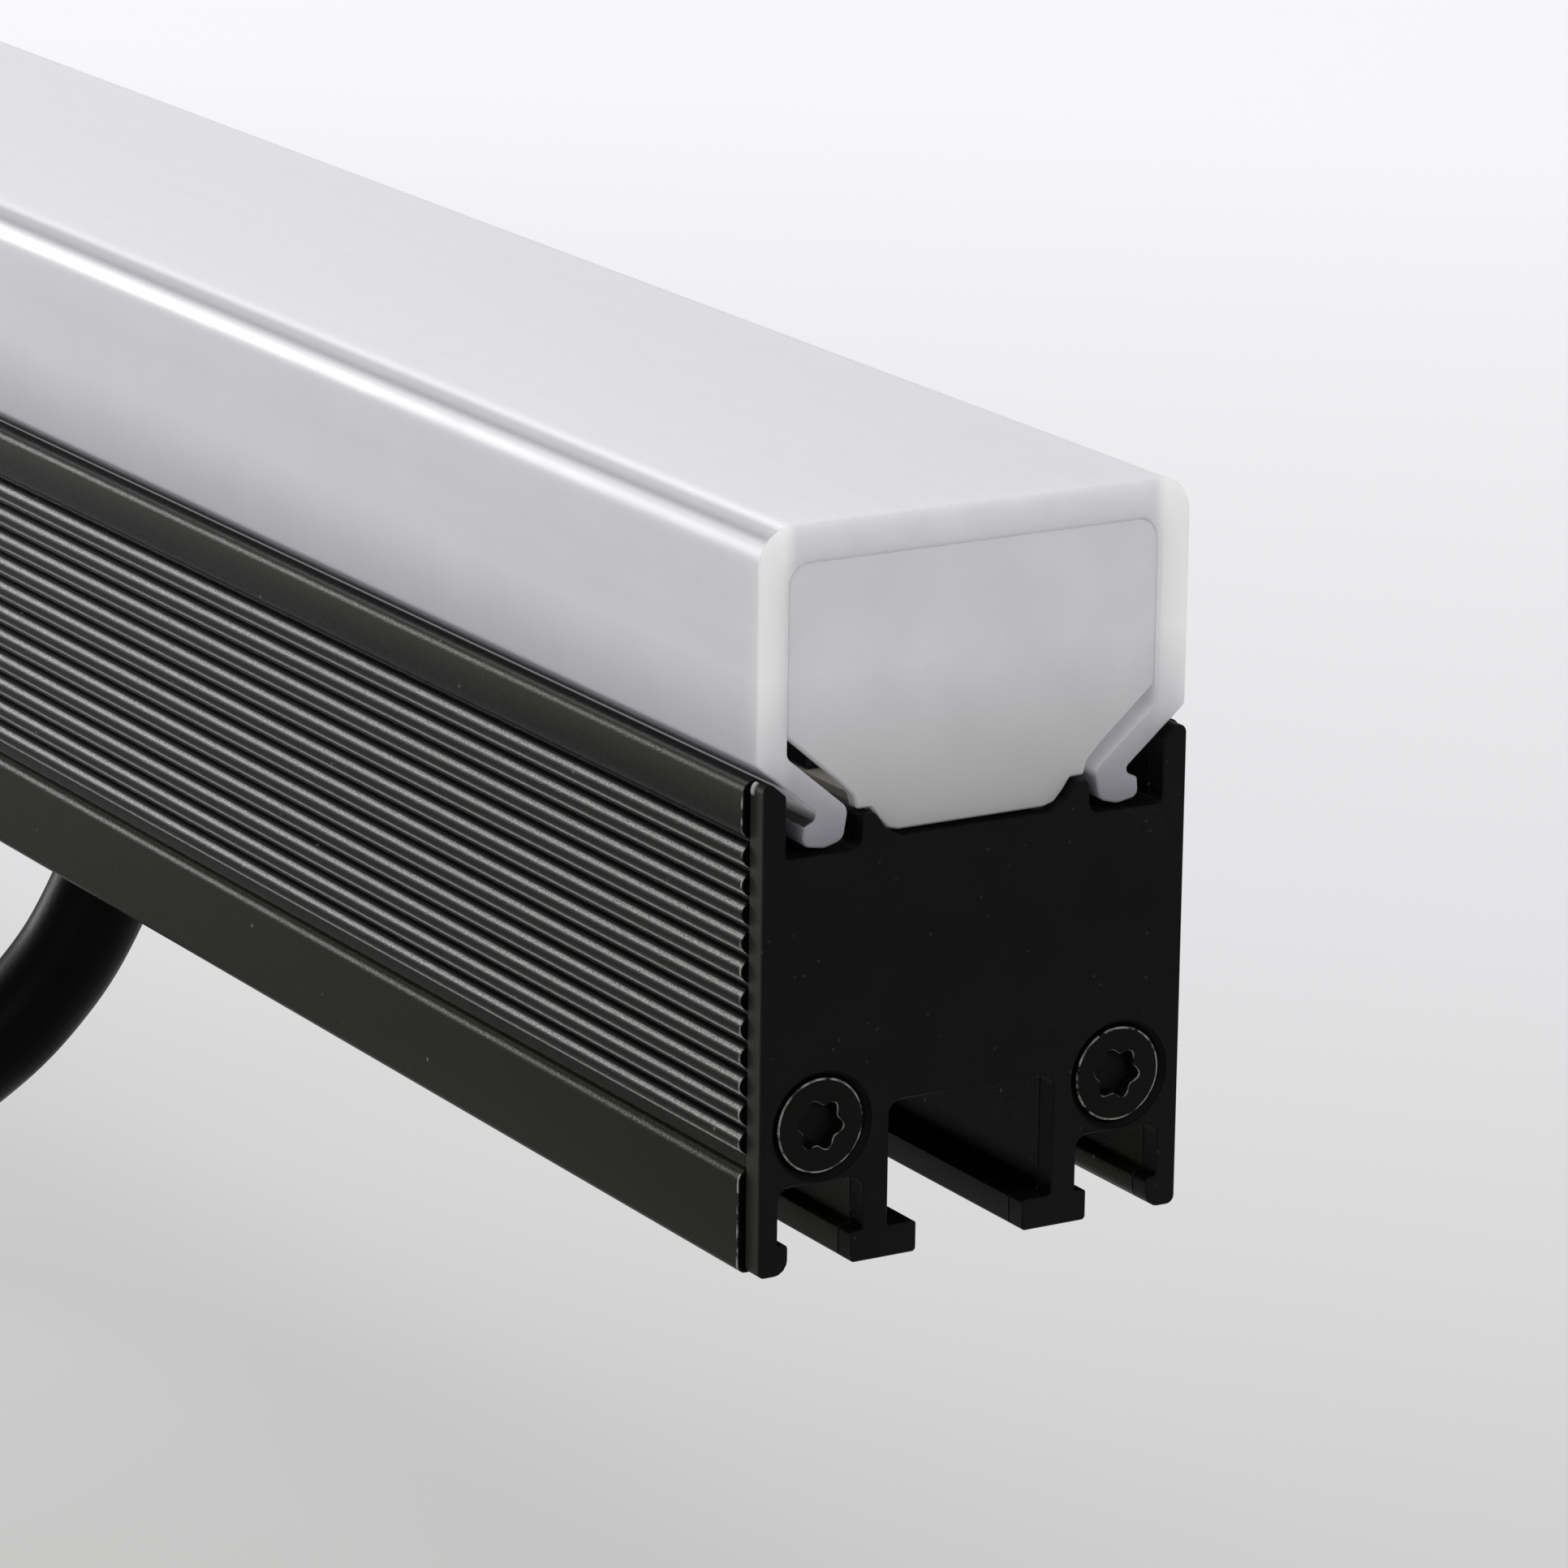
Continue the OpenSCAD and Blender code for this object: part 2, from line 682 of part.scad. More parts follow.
// A wire from the gland's neck through the bed to the terminal's face
module wire(y) {
  entry_z = bar_z + board_top + terminal_h/2;
  turn_z = bar_z + (gland_top + chamber_top)/2;
  tube([
    [lead_x, y, bar_z + gland_top],
    [lead_x, y, turn_z],
    [wire_x + wire_turn_share*(lead_x - wire_x), y, turn_z],
    [wire_x, y, bar_z + chamber_top],
    [wire_x, y, bar_z + board_top],
    [wire_x - wire_bend_share*wire_d, y, entry_z - wire_bend_share*wire_d],
    [wire_x - wire_d, y, entry_z],
    [terminal_x + terminal_len/2, y, entry_z]
  ], wire_d/2, wire_sides, [0, 1, 0], [0, 0, 1], [-1, 0, 0]);
}
module wire_live() {
  color([0.7, 0.1, 0.08]) wire(wire_y);
}
module wire_return() {
  color([0.1, 0.1, 0.12]) wire(-wire_y);
}

module at_gland(z) {
  translate([lead_x, 0, bar_z + z]) children();
}
module gland_body() {
  color([0.08, 0.08, 0.08]) union() {
    at_gland(gland_foot) cylinder(d = gland_sleeve_d, h = gland_sleeve_h);
    at_gland(gland_collar_z - gland_h) cylinder(d = gland_d, h = gland_h);
    at_gland(gland_collar_z) cylinder(d = gland_neck_d, h = gland_top - gland_collar_z);
  }
}
module gland_seal() {
  color([0.15, 0.15, 0.15]) at_gland(gland_collar_z)
    ring(gland_seal_d, gland_neck_d + 2*thread_gap, gland_seal_t);
}
module gland_locknut() {
  color([0.08, 0.08, 0.08]) at_gland(chamber_z) difference() {
    hexagon(gland_nut_w, gland_nut_h);
    translate([0, 0, -past]) cylinder(d = gland_neck_d + 2*thread_gap, h = gland_nut_h + 2*past);
  }
}
module power_lead() {
  color([0.05, 0.05, 0.05])
    tube(lead_route, lead_d/2, lead_sides, [1, -1, 0], [0, 0, -1], [-1, 0, 0]);
}

// Pieces of the connector, with the lead's end at z = 0 and the nose pointing away from it
module on_plug(z = 0) {
  translate(plug_at) rotate([0, -90, 0]) translate([0, 0, z]) children();
}
module bend_relief() {
  pitch = relief_len/(relief_ring_count + 1);
  color([0.06, 0.06, 0.06]) on_plug() difference() {
    cylinder(d1 = relief_d, d2 = grip_d - relief_cut, h = relief_len);
    for (i = [1:relief_ring_count]) translate([0, 0, i*pitch - pitch/4])
      ring(2*grip_d, relief_d - relief_cut, pitch/2);
  }
}
module connector_grip() {
  color([0.07, 0.07, 0.07]) on_plug(relief_len) difference() {
    union() {
      cylinder(d = grip_d, h = grip_len);
      translate([0, 0, grip_len]) cylinder(d = shoulder_d, h = shoulder_h);
      translate([0, 0, grip_len]) cylinder(d = neck_d, h = nose_z - grip_end + nose_t);
      translate([0, 0, nose_z - relief_len]) cylinder(d = nose_d, h = nose_len);
    }
    translate([0, 0, nose_end - relief_len - socket_depth])
      cylinder(d = nose_d - 2*nose_t, h = socket_depth + past);
    translate([0, 0, seal_z - relief_len - slide_gap])
      ring(2*nose_d, seal_seat_d, seal_d + 2*slide_gap);
    translate([nose_d/2 - key_depth, -key_w/2, nose_end - relief_len - socket_depth])
      cube([nose_d, key_w, socket_depth + past]);
  }
}
module connector_insert() {
  color([0.6, 0.6, 0.58]) on_plug(nose_end - socket_depth)
    cylinder(d = nose_d - 2*nose_t - 2*thread_gap, h = insert_t);
}
module contact_pins() {
  color([0.85, 0.7, 0.35]) on_plug(nose_end - socket_depth + insert_t)
    for (i = [0:contact_count - 1]) rotate(360*i/contact_count) translate([contact_circle_d/2, 0, 0]) {
      cylinder(d = contact_d, h = contact_reach);
      translate([0, 0, contact_reach]) cylinder(d1 = contact_d, d2 = contact_d/2, h = contact_d/2);
    }
}
module connector_seal() {
  color([0.75, 0.2, 0.1]) on_plug(seal_z) translate([0, 0, seal_d/2])
    rotate_extrude() translate([seal_circle_d/2, 0]) circle(d = seal_d);
}
module coupling_ring() {
  color([0.08, 0.08, 0.08]) on_plug(ring_z) difference() {
    linear_extrude(ring_len) difference() {
      circle(d = ring_d);
      for (i = [0:knurl_count - 1])
        rotate(360*i/knurl_count) translate([ring_d/2, 0]) circle(r = knurl_r);
    }
    translate([0, 0, -past]) cylinder(d = neck_d + 2*ring_gap, h = ring_len);
    translate([0, 0, ring_lip_t]) cylinder(d = ring_bore_d, h = ring_len);
  }
}

// Pieces of one bracket, round the middle of its foot
module saddle() {
  color([0.12, 0.12, 0.12]) difference() {
    union() {
      translate([0, 0, saddle_z]) linear_extrude(saddle_t)
          polygon(round_box(saddle_len, -saddle_w/2, saddle_w/2, saddle_r));
      each_side() translate([-guide_len/2, (mouth_in + mouth_out - guide_w)/2, saddle_z])
        cube([guide_len, guide_w, saddle_t + guide_h]);
      translate([-tongue_t/2, 0, pivot_h]) rotate([90, 0, 90]) linear_extrude(tongue_t) {
        circle(d = tongue_w);
        translate([-tongue_w/2, 0]) square([tongue_w, saddle_z + saddle_t/2 - pivot_h]);
      }
    }
    translate([-tongue_t/2 - past, 0, pivot_h]) rotate([0, 90, 0])
      cylinder(d = pin_d + 2*pin_gap, h = tongue_t + 2*past);
    for (s = [-1, 1]) translate([s*clamp_span/2, 0, saddle_z - past])
      cylinder(d = clamp_hole_d, h = saddle_t + 2*past);
  }
}
module slot_nut() {
  color([0.7, 0.7, 0.7]) difference() {
    translate([-nut_len/2, 0, 0]) rotate([90, 0, 90]) linear_extrude(nut_len) polygon(both_sides([
      [nut_neck_w/2, saddle_top],
      [nut_neck_w/2, nut_low_z],
      [nut_w/2, nut_low_z],
      [nut_w/2, nut_low_z + nut_t]
    ]));
    for (s = [-1, 1]) translate([s*clamp_span/2, 0, saddle_z])
      cylinder(d = clamp_d + 2*thread_gap, h = nut_t + bar_z);
  }
}
module clamp_screws() {
  color([0.7, 0.7, 0.7]) for (s = [-1, 1]) translate([s*clamp_span/2, 0, saddle_z - clamp_head_h])
    difference() {
      union() {
        cylinder(d = clamp_head_d, h = clamp_head_h);
        cylinder(d = clamp_d, h = clamp_tip_z - saddle_z + clamp_head_h);
      }
      translate([0, 0, -past]) hexagon(clamp_key_d, clamp_key_depth + past);
    }
}
module foot() {
  color([0.12, 0.12, 0.12]) {
    linear_extrude(foot_t) difference() {
      polygon(round_box(foot_len, -foot_w/2, foot_w/2, foot_r));
      for (s = [-1, 1]) translate([s*fix_span/2, 0]) slot_2d(fix_len, fix_w);
    }
    for (x = [-ear_out, ear_in]) translate([x, 0, 0]) rotate([90, 0, 90])
      linear_extrude(foot_t) difference() {
        union() {
          translate([0, pivot_h]) circle(d = ear_w);
          polygon(both_sides([[ear_foot_w/2, foot_t/2], [ear_foot_w/2, foot_t], [ear_w/2, pivot_h]]));
        }
        translate([0, pivot_h]) circle(d = pin_d + 2*thread_gap);
      }
  }
}
module at_pin(x) {
  translate([x, 0, pivot_h]) rotate([0, 90, 0]) children();
}
module tilt_pin() {
  shank = 2*pin_head_x + hex_nut_h + pin_spare;
  color([0.7, 0.7, 0.7]) {
    at_pin(pin_head_x - shank) cylinder(d = pin_d, h = shank);
    at_pin(pin_head_x) hexagon(hex_w, hex_head_h);
  }
}
module pin_nut() {
  color([0.7, 0.7, 0.7]) at_pin(-pin_head_x - hex_nut_h) difference() {
    hexagon(hex_w, hex_nut_h);
    translate([0, 0, -past]) cylinder(d = pin_d + 2*thread_gap, h = hex_nut_h + 2*past);
  }
}
module washers() {
  color([0.75, 0.75, 0.75]) for (x = [-pin_head_x, ear_out]) at_pin(x)
    ring(washer_d, pin_d + 2*thread_gap, washer_t);
}
module friction_washers() {
  color([0.85, 0.85, 0.82]) for (x = [-ear_in, ear_in - friction_t]) at_pin(x)
    ring(washer_d, pin_d + 2*thread_gap, friction_t);
}
module at_bracket(side) {
  translate([side*bracket_x, 0, 0]) children();
}

housing();
at_right_end() end_plate();  // end_plate_right
at_left_end() end_plate();  // end_plate_left
at_right_end() end_screws();  // end_screws_right
at_left_end() end_screws();  // end_screws_left
at_right_end() chamber_seal();  // chamber_seal_right
at_left_end() chamber_seal();  // chamber_seal_left
opal_cover();
at_right_end() end_plug();  // end_plug_right
at_left_end() end_plug();  // end_plug_left
lamp_board();
heat_tape();
light_sources();
driver_chips();
board_resistors();
surge_blocks();
board_screws();
wire_terminal();
wire_live();
wire_return();
gland_body();
gland_seal();
gland_locknut();
power_lead();
bend_relief();
connector_grip();
connector_insert();
contact_pins();
connector_seal();
coupling_ring();
at_bracket(-1) saddle();  // left_saddle
at_bracket(-1) slot_nut();  // left_slot_nut
at_bracket(-1) clamp_screws();  // left_clamp_screws
at_bracket(-1) foot();  // left_foot
at_bracket(-1) tilt_pin();  // left_tilt_pin
at_bracket(-1) pin_nut();  // left_pin_nut
at_bracket(-1) washers();  // left_washers
at_bracket(-1) friction_washers();  // left_friction_washers
at_bracket(1) saddle();  // right_saddle
at_bracket(1) slot_nut();  // right_slot_nut
at_bracket(1) clamp_screws();  // right_clamp_screws
at_bracket(1) foot();  // right_foot
at_bracket(1) tilt_pin();  // right_tilt_pin
at_bracket(1) pin_nut();  // right_pin_nut
at_bracket(1) washers();  // right_washers
at_bracket(1) friction_washers();  // right_friction_washers
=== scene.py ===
"""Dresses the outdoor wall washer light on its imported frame."""

import logging
import math
from dataclasses import dataclass, field
from enum import Enum
from functools import reduce
from itertools import pairwise
from typing import Any, Iterable, Sequence

import bmesh
import bpy
from mathutils import Matrix, Vector

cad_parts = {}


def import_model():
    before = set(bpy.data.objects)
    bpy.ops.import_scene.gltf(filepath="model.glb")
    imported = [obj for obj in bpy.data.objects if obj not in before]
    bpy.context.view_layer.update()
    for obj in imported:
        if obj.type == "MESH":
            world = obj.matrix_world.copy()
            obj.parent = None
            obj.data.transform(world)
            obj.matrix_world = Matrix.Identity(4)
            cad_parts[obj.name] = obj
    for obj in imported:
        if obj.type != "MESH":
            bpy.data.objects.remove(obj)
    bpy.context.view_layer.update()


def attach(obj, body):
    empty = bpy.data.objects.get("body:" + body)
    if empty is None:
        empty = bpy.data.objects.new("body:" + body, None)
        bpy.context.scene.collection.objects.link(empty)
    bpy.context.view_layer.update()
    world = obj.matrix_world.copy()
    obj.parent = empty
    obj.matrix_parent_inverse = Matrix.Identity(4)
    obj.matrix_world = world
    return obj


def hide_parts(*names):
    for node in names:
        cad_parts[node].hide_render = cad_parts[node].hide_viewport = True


log = logging.getLogger("light")

MM = 0.001
SAME_POINT = 1e-6
COPLANAR = 0.02

Point = tuple[float, float]
Place = tuple[float, float, float]
Piece = bpy.types.Object


class Body(Enum):
    """The rigid bodies of the light."""

    LIGHT = "light"
    LEFT_SLIDER = "left_slider"
    RIGHT_SLIDER = "right_slider"
    LEFT_FOOT = "left_tilting_foot"
    RIGHT_FOOT = "right_tilting_foot"
    RING = "screw_ring"


class End(Enum):
    """The two ends of the light, as the sign of X."""

    LEFT = -1
    RIGHT = 1


# Bench tools: each one works as a person at the bench would, on one piece at a time.


def clear_selection() -> None:
    """Leaves edit mode and deselects everything."""
    if bpy.context.object and bpy.context.object.mode != "OBJECT":
        bpy.ops.object.mode_set(mode="OBJECT")
    bpy.ops.object.select_all(action="DESELECT")


def take(piece: Piece) -> Piece:
    """Makes a piece the only one that is selected and active.

    Args:
        piece: the piece.

    Returns:
        The same piece.
    """
    clear_selection()
    bpy.context.view_layer.objects.active = piece
    piece.select_set(True)
    return piece


def edit_all(piece: Piece) -> Piece:
    """Takes a piece into edit mode with everything on it selected.

    Args:
        piece: the piece.

    Returns:
        The same piece.
    """
    take(piece)
    bpy.ops.object.mode_set(mode="EDIT")
    bpy.ops.mesh.select_all(action="SELECT")
    return piece


def stand(name: str, data: bpy.types.ID) -> Piece:
    """Puts a mesh, a curve, a lamp or a camera in the scene as a new object.

    Args:
        name: the new object's name.
        data: the mesh, curve, lamp or camera.

    Returns:
        The new object.
    """
    made = bpy.data.objects.new(name, data)
    bpy.context.scene.collection.objects.link(made)
    return made


def close_up(piece: Piece) -> Piece:
    """Merges doubled points and turns every face outwards.

    Args:
        piece: the piece.

    Returns:
        The same piece, in object mode.
    """
    edit_all(piece)
    bpy.ops.mesh.remove_doubles(threshold=SAME_POINT)
    bpy.ops.mesh.normals_make_consistent(inside=False)
    bpy.ops.object.mode_set(mode="OBJECT")
    return piece


def start_ring(name: str, points: Sequence[Place], filled: bool) -> Piece:
    """Adds a circle and sets its points one by one.

    Args:
        name: the new piece's name.
        points: where its points go, in millimetres.
        filled: whether it is a face or only its rim.

    Returns:
        The new piece.
    """
    clear_selection()
    bpy.ops.mesh.primitive_circle_add(
        vertices=len(points), radius=MM, fill_type="NGON" if filled else "NOTHING"
    )
    piece = bpy.context.active_object
    piece.name = piece.data.name = name
    for vertex, point in zip(piece.data.vertices, points):
        vertex.co = Vector(point) * MM
    return piece


def loft(name: str, sections: Sequence[Sequence[Place]]) -> Piece:
    """Extrudes a face through sections of the same number of points, into a closed solid.

    Args:
        name: the new piece's name.
        sections: the sections in order, each with its points in millimetres.

    Returns:
        The new piece.
    """
    piece = edit_all(start_ring(name, sections[0], True))
    count = len(sections[0])
    for section in sections[1:]:
        bpy.ops.mesh.extrude_region_move(TRANSFORM_OT_translate={"value": (0, 0, 0)})
        mesh = bmesh.from_edit_mesh(piece.data)
        mesh.verts.ensure_lookup_table()
        for vertex, point in zip(mesh.verts[-count:], section):
            vertex.co = Vector(point) * MM
    bmesh.update_edit_mesh(piece.data)
    return close_up(piece)


def turn(name: str, profile: Sequence[Point], place: Matrix, steps: int = 48) -> Piece:
    """Spins a closed profile round an axis.

    Args:
        name: the new piece's name.
        profile: its points as height along the axis and radius, in millimetres.
        place: takes the Z axis to where the piece stands, in millimetres.
        steps: how many steps the full turn has.

    Returns:
        The new piece.
    """
    piece = edit_all(start_ring(name, [(r, 0, z) for z, r in profile], False))
    bpy.ops.mesh.spin(steps=steps, angle=math.tau, center=(0, 0, 0), axis=(0, 0, 1))
    bpy.ops.object.mode_set(mode="OBJECT")
    piece.data.transform(in_metres(place))
    return close_up(piece)


def in_metres(place: Matrix) -> Matrix:
    """The same turn and place with its shift in metres.

    Args:
        place: a turn and a place in millimetres.

    Returns:
        A copy of it in metres.
    """
    made = place.copy()
    made.translation = place.translation * MM
    return made


def join(name: str, pieces: Sequence[Piece]) -> Piece:
    """Joins pieces into the first one and names it.

    Args:
        name: the joined piece's name.
        pieces: the pieces to join.

    Returns:
        The first piece, which now holds them all.
    """
    take(pieces[0])
    for piece in pieces:
        piece.select_set(True)
    if len(pieces) > 1:
        bpy.ops.object.join()
    pieces[0].name = pieces[0].data.name = name
    return pieces[0]


def cut(piece: Piece, *cutters: Piece) -> Piece:
    """Cuts the cutters out of a piece, and removes them.

    Args:
        piece: the piece.
        cutters: the solids to cut out of it, one after another.

    Returns:
        The same piece.
    """
    for cutter in cutters:
        take(piece)
        change = piece.modifiers.new("cut", "BOOLEAN")
        change.object = cutter
        change.operation = "DIFFERENCE"
        change.solver = "EXACT"
        bpy.ops.object.modifier_apply(modifier=change.name)
        bpy.data.objects.remove(cutter)
    return piece


def ease_edges(piece: Piece, width: float, angle: float = 32, segments: int = 2) -> Piece:
    """Rounds the sharp edges of a piece.

    Args:
        piece: the piece.
        width: the width of the rounding, in millimetres.
        angle: edges that turn by more than this many degrees are rounded.
        segments: how many steps the rounding has.

    Returns:
        The same piece.
    """
    take(piece)
    change = piece.modifiers.new("eased", "BEVEL")
    change.width = width * MM
    change.segments = segments
    change.limit_method = "ANGLE"
    change.angle_limit = math.radians(angle)
    change.use_clamp_overlap = True
    bpy.ops.object.modifier_apply(modifier=change.name)
    return piece


def smooth(piece: Piece, angle: float = 30) -> Piece:
    """Shades a piece smooth, with edges sharper than the angle kept.

    Args:
        piece: the piece.
        angle: edges that turn by more than this many degrees stay sharp.

    Returns:
        The same piece.
    """
    take(piece)
    bpy.ops.object.shade_smooth_by_angle(angle=math.radians(angle))
    return piece


def mark_edges(piece: Piece, widest: float = 0.5, sharpest: float = 18) -> Piece:
    """Marks the narrow faces that round an outer edge, where wear shows first.

    Args:
        piece: the piece.
        widest: how wide such a face is at most, in millimetres.
        sharpest: it turns outwards by at least this many degrees at one of its sides.

    Returns:
        The same piece, with a face attribute named edge. A face that goes on flat past one of
        its long sides isn't marked.
    """
    mesh = bmesh.new()
    mesh.from_mesh(piece.data)
    marks = []
    for face in mesh.faces:
        longest = max(side.calc_length() for side in face.edges)
        width = face.calc_area() / longest
        turned = max(side.calc_face_angle_signed(0) for side in face.edges)
        flat = any(
            side.calc_length() > longest / 2 and abs(side.calc_face_angle_signed(1)) < COPLANAR
            for side in face.edges
        )
        narrow = width < widest * MM
        marks.append(float(narrow and turned > math.radians(sharpest) and not flat))
    mesh.free()
    piece.data.attributes.new("edge", "FLOAT", "FACE").data.foreach_set("value", marks)
    return piece


def copy_of(node: str, name: str) -> Piece:
    """A merged copy of a CAD node with its flat faces whole again.

    Args:
        node: the node's name.
        name: the copy's name.

    Returns:
        The copy, without a finish.
    """
    piece = stand(name, bpy.data.objects[node].data.copy())
    piece.data.name = name
    piece.data.materials.clear()
    edit_all(close_up(piece))
    bpy.ops.mesh.dissolve_limited(angle_limit=math.radians(1))
    bpy.ops.object.mode_set(mode="OBJECT")
    return piece


def dress(
    piece: Piece, finish: "Finish", body: Body, replaced: Iterable[str] = ()
) -> Piece:
    """Gives a piece its finish and its body, and hides the CAD nodes that it stands for.

    Args:
        piece: the piece.
        finish: its finish; its slot isn't given to the piece.
        body: the body that it rides on.
        replaced: the CAD nodes that it stands for, if any.

    Returns:
        The same piece.
    """
    piece.data.materials.clear()
    piece.data.materials.append(finish.material())
    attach(piece, body.value)
    if replaced:
        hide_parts(*replaced)
    log.info("%s rides on %s, in %s", piece.name, body.value, finish.name)
    return piece


def present(piece: Piece, finish: "Finish", body: Body, replaced: Iterable[str]) -> Piece:
    """Shades a piece smooth, marks its edges and dresses it."""
    return dress(mark_edges(smooth(piece)), finish, body, replaced)


def soften(
    node: str, name: str, width: float, finish: "Finish", body: Body = Body.LIGHT
) -> Piece:
    """Presents a copy of a CAD node with edges rounded by a width in millimetres."""
    return present(ease_edges(copy_of(node, name), width), finish, body, [node])


# Outlines, in millimetres.


def arc(centre: Point, radius: float, start: float, stop: float, steps: int) -> list[Point]:
    """Points of an arc from one angle to another, in degrees."""
    turns = [math.radians(start + (stop - start) * i / steps) for i in range(steps + 1)]
    return [(centre[0] + radius * math.cos(a), centre[1] + radius * math.sin(a)) for a in turns]


def rounded(corners: Sequence[tuple[float, ...]], steps: int = 4) -> list[Point]:
    """Rounds the corners of an open line of points.

    Args:
        corners: each one as y, z and, where it is rounded, its radius.
        steps: how many steps each round corner has.

    Returns:
        The points of the line.
    """
    most = 0.48  # of a side's length, so that two neighbouring roundings never meet
    made: list[Point] = []
    for i, corner in enumerate(corners):
        here = Vector(corner[:2])
        if len(corner) < 3:
            made.append(tuple(here))
            continue
        back = Vector(corners[i - 1][:2]) - here
        ahead = Vector(corners[i + 1][:2]) - here
        half = back.angle(ahead) / 2
        reach = min(corner[2] / math.tan(half), most * back.length, most * ahead.length)
        radius = reach * math.tan(half)
        middle = here + (back.normalized() + ahead.normalized()).normalized() * (
            radius / math.sin(half)
        )
        first, last = here + back.normalized() * reach, here + ahead.normalized() * reach
        for k in range(steps + 1):
            arm = (first - middle).lerp(last - middle, k / steps)
            made.append(tuple(middle + arm.normalized() * radius))
    return made


def both_sides(points: Sequence[Point]) -> list[Point]:
    """The whole outline from its right-hand points."""
    return list(points) + [(-y, z) for y, z in reversed(points)]


def inset(outline: Sequence[Point], depth: float) -> list[Point]:
    """Moves every point of a closed outline inwards by a small depth.

    Args:
        outline: its points, in either order.
        depth: how far each point moves.

    Returns:
        The moved points.
    """
    area = sum(a[0] * b[1] - b[0] * a[1] for a, b in pairwise([*outline, outline[0]]))
    side = 1 if area > 0 else -1
    made = []
    for i, point in enumerate(outline):
        before, after = Vector(outline[i - 1]), Vector(outline[(i + 1) % len(outline)])
        along = (after - before).normalized()
        y, z = point
        made.append((y - side * along.y * depth, z + side * along.x * depth))
    return made


def star(radius: float, share: float, tips: int, sides: int) -> list[Point]:
    """A round outline with soft tips, as of a star socket.

    Args:
        radius: how far the tips reach.
        share: half the depth of a hollow between tips, as a share of the radius.
        tips: how many tips it has.
        sides: how many points it has.

    Returns:
        The points of the closed outline, round the middle.
    """
    made = []
    for i in range(sides):
        a = math.tau * i / sides
        r = radius * (1 - share * (1 - math.cos(tips * a)))
        made.append((r * math.cos(a), r * math.sin(a)))
    return made


def run_along(
    name: str, outline: Sequence[Point], low: float, high: float, lift: float, ease: float
) -> Piece:
    """Runs an outline of Y and Z along X, with slightly eased ends.

    Args:
        name: the new piece's name.
        outline: its closed outline.
        low: the X of its first end.
        high: the X of its last end.
        lift: how far the outline is lifted.
        ease: how far the ends are eased, or nothing.

    Returns:
        The new piece.
    """
    stations = [(low, 0.0), (high, 0.0)]
    if ease:
        stations = [(low, ease), (low + ease, 0.0), (high - ease, 0.0), (high, ease)]
    return loft(
        name,
        [
            [(x, y, z + lift) for y, z in (inset(outline, depth) if depth else outline)]
            for x, depth in stations
        ],
    )


def post(name: str, centre: Place, radius: float, height: float, steps: int = 48) -> Piece:
    """A round cutter that stands on a point."""
    circle = arc((centre[0], centre[1]), radius, 0, 360 * (steps - 1) / steps, steps - 1)
    return loft(name, [[(x, y, centre[2] + h) for x, y in circle] for h in (0, height)])


def along_x(place: Place, sign: int = 1) -> Matrix:
    """Takes the Z axis to plus or minus X at a point."""
    return Matrix.Translation(place) @ Matrix.Rotation(sign * math.pi / 2, 4, "Y")


# Shader parts.


def hexed(colour: str) -> tuple[float, float, float, float]:
    """A colour for a shader from its usual six digits.

    Args:
        colour: a hash sign and the six digits.

    Returns:
        Red, green and blue as shaders take them, and a full alpha.
    """
    parts = [int(colour[i : i + 2], 16) / 255 for i in (1, 3, 5)]
    red, green, blue = (
        c / 12.92 if c <= 0.04045 else ((c + 0.055) / 1.055) ** 2.4 for c in parts
    )
    return (red, green, blue, 1.0)


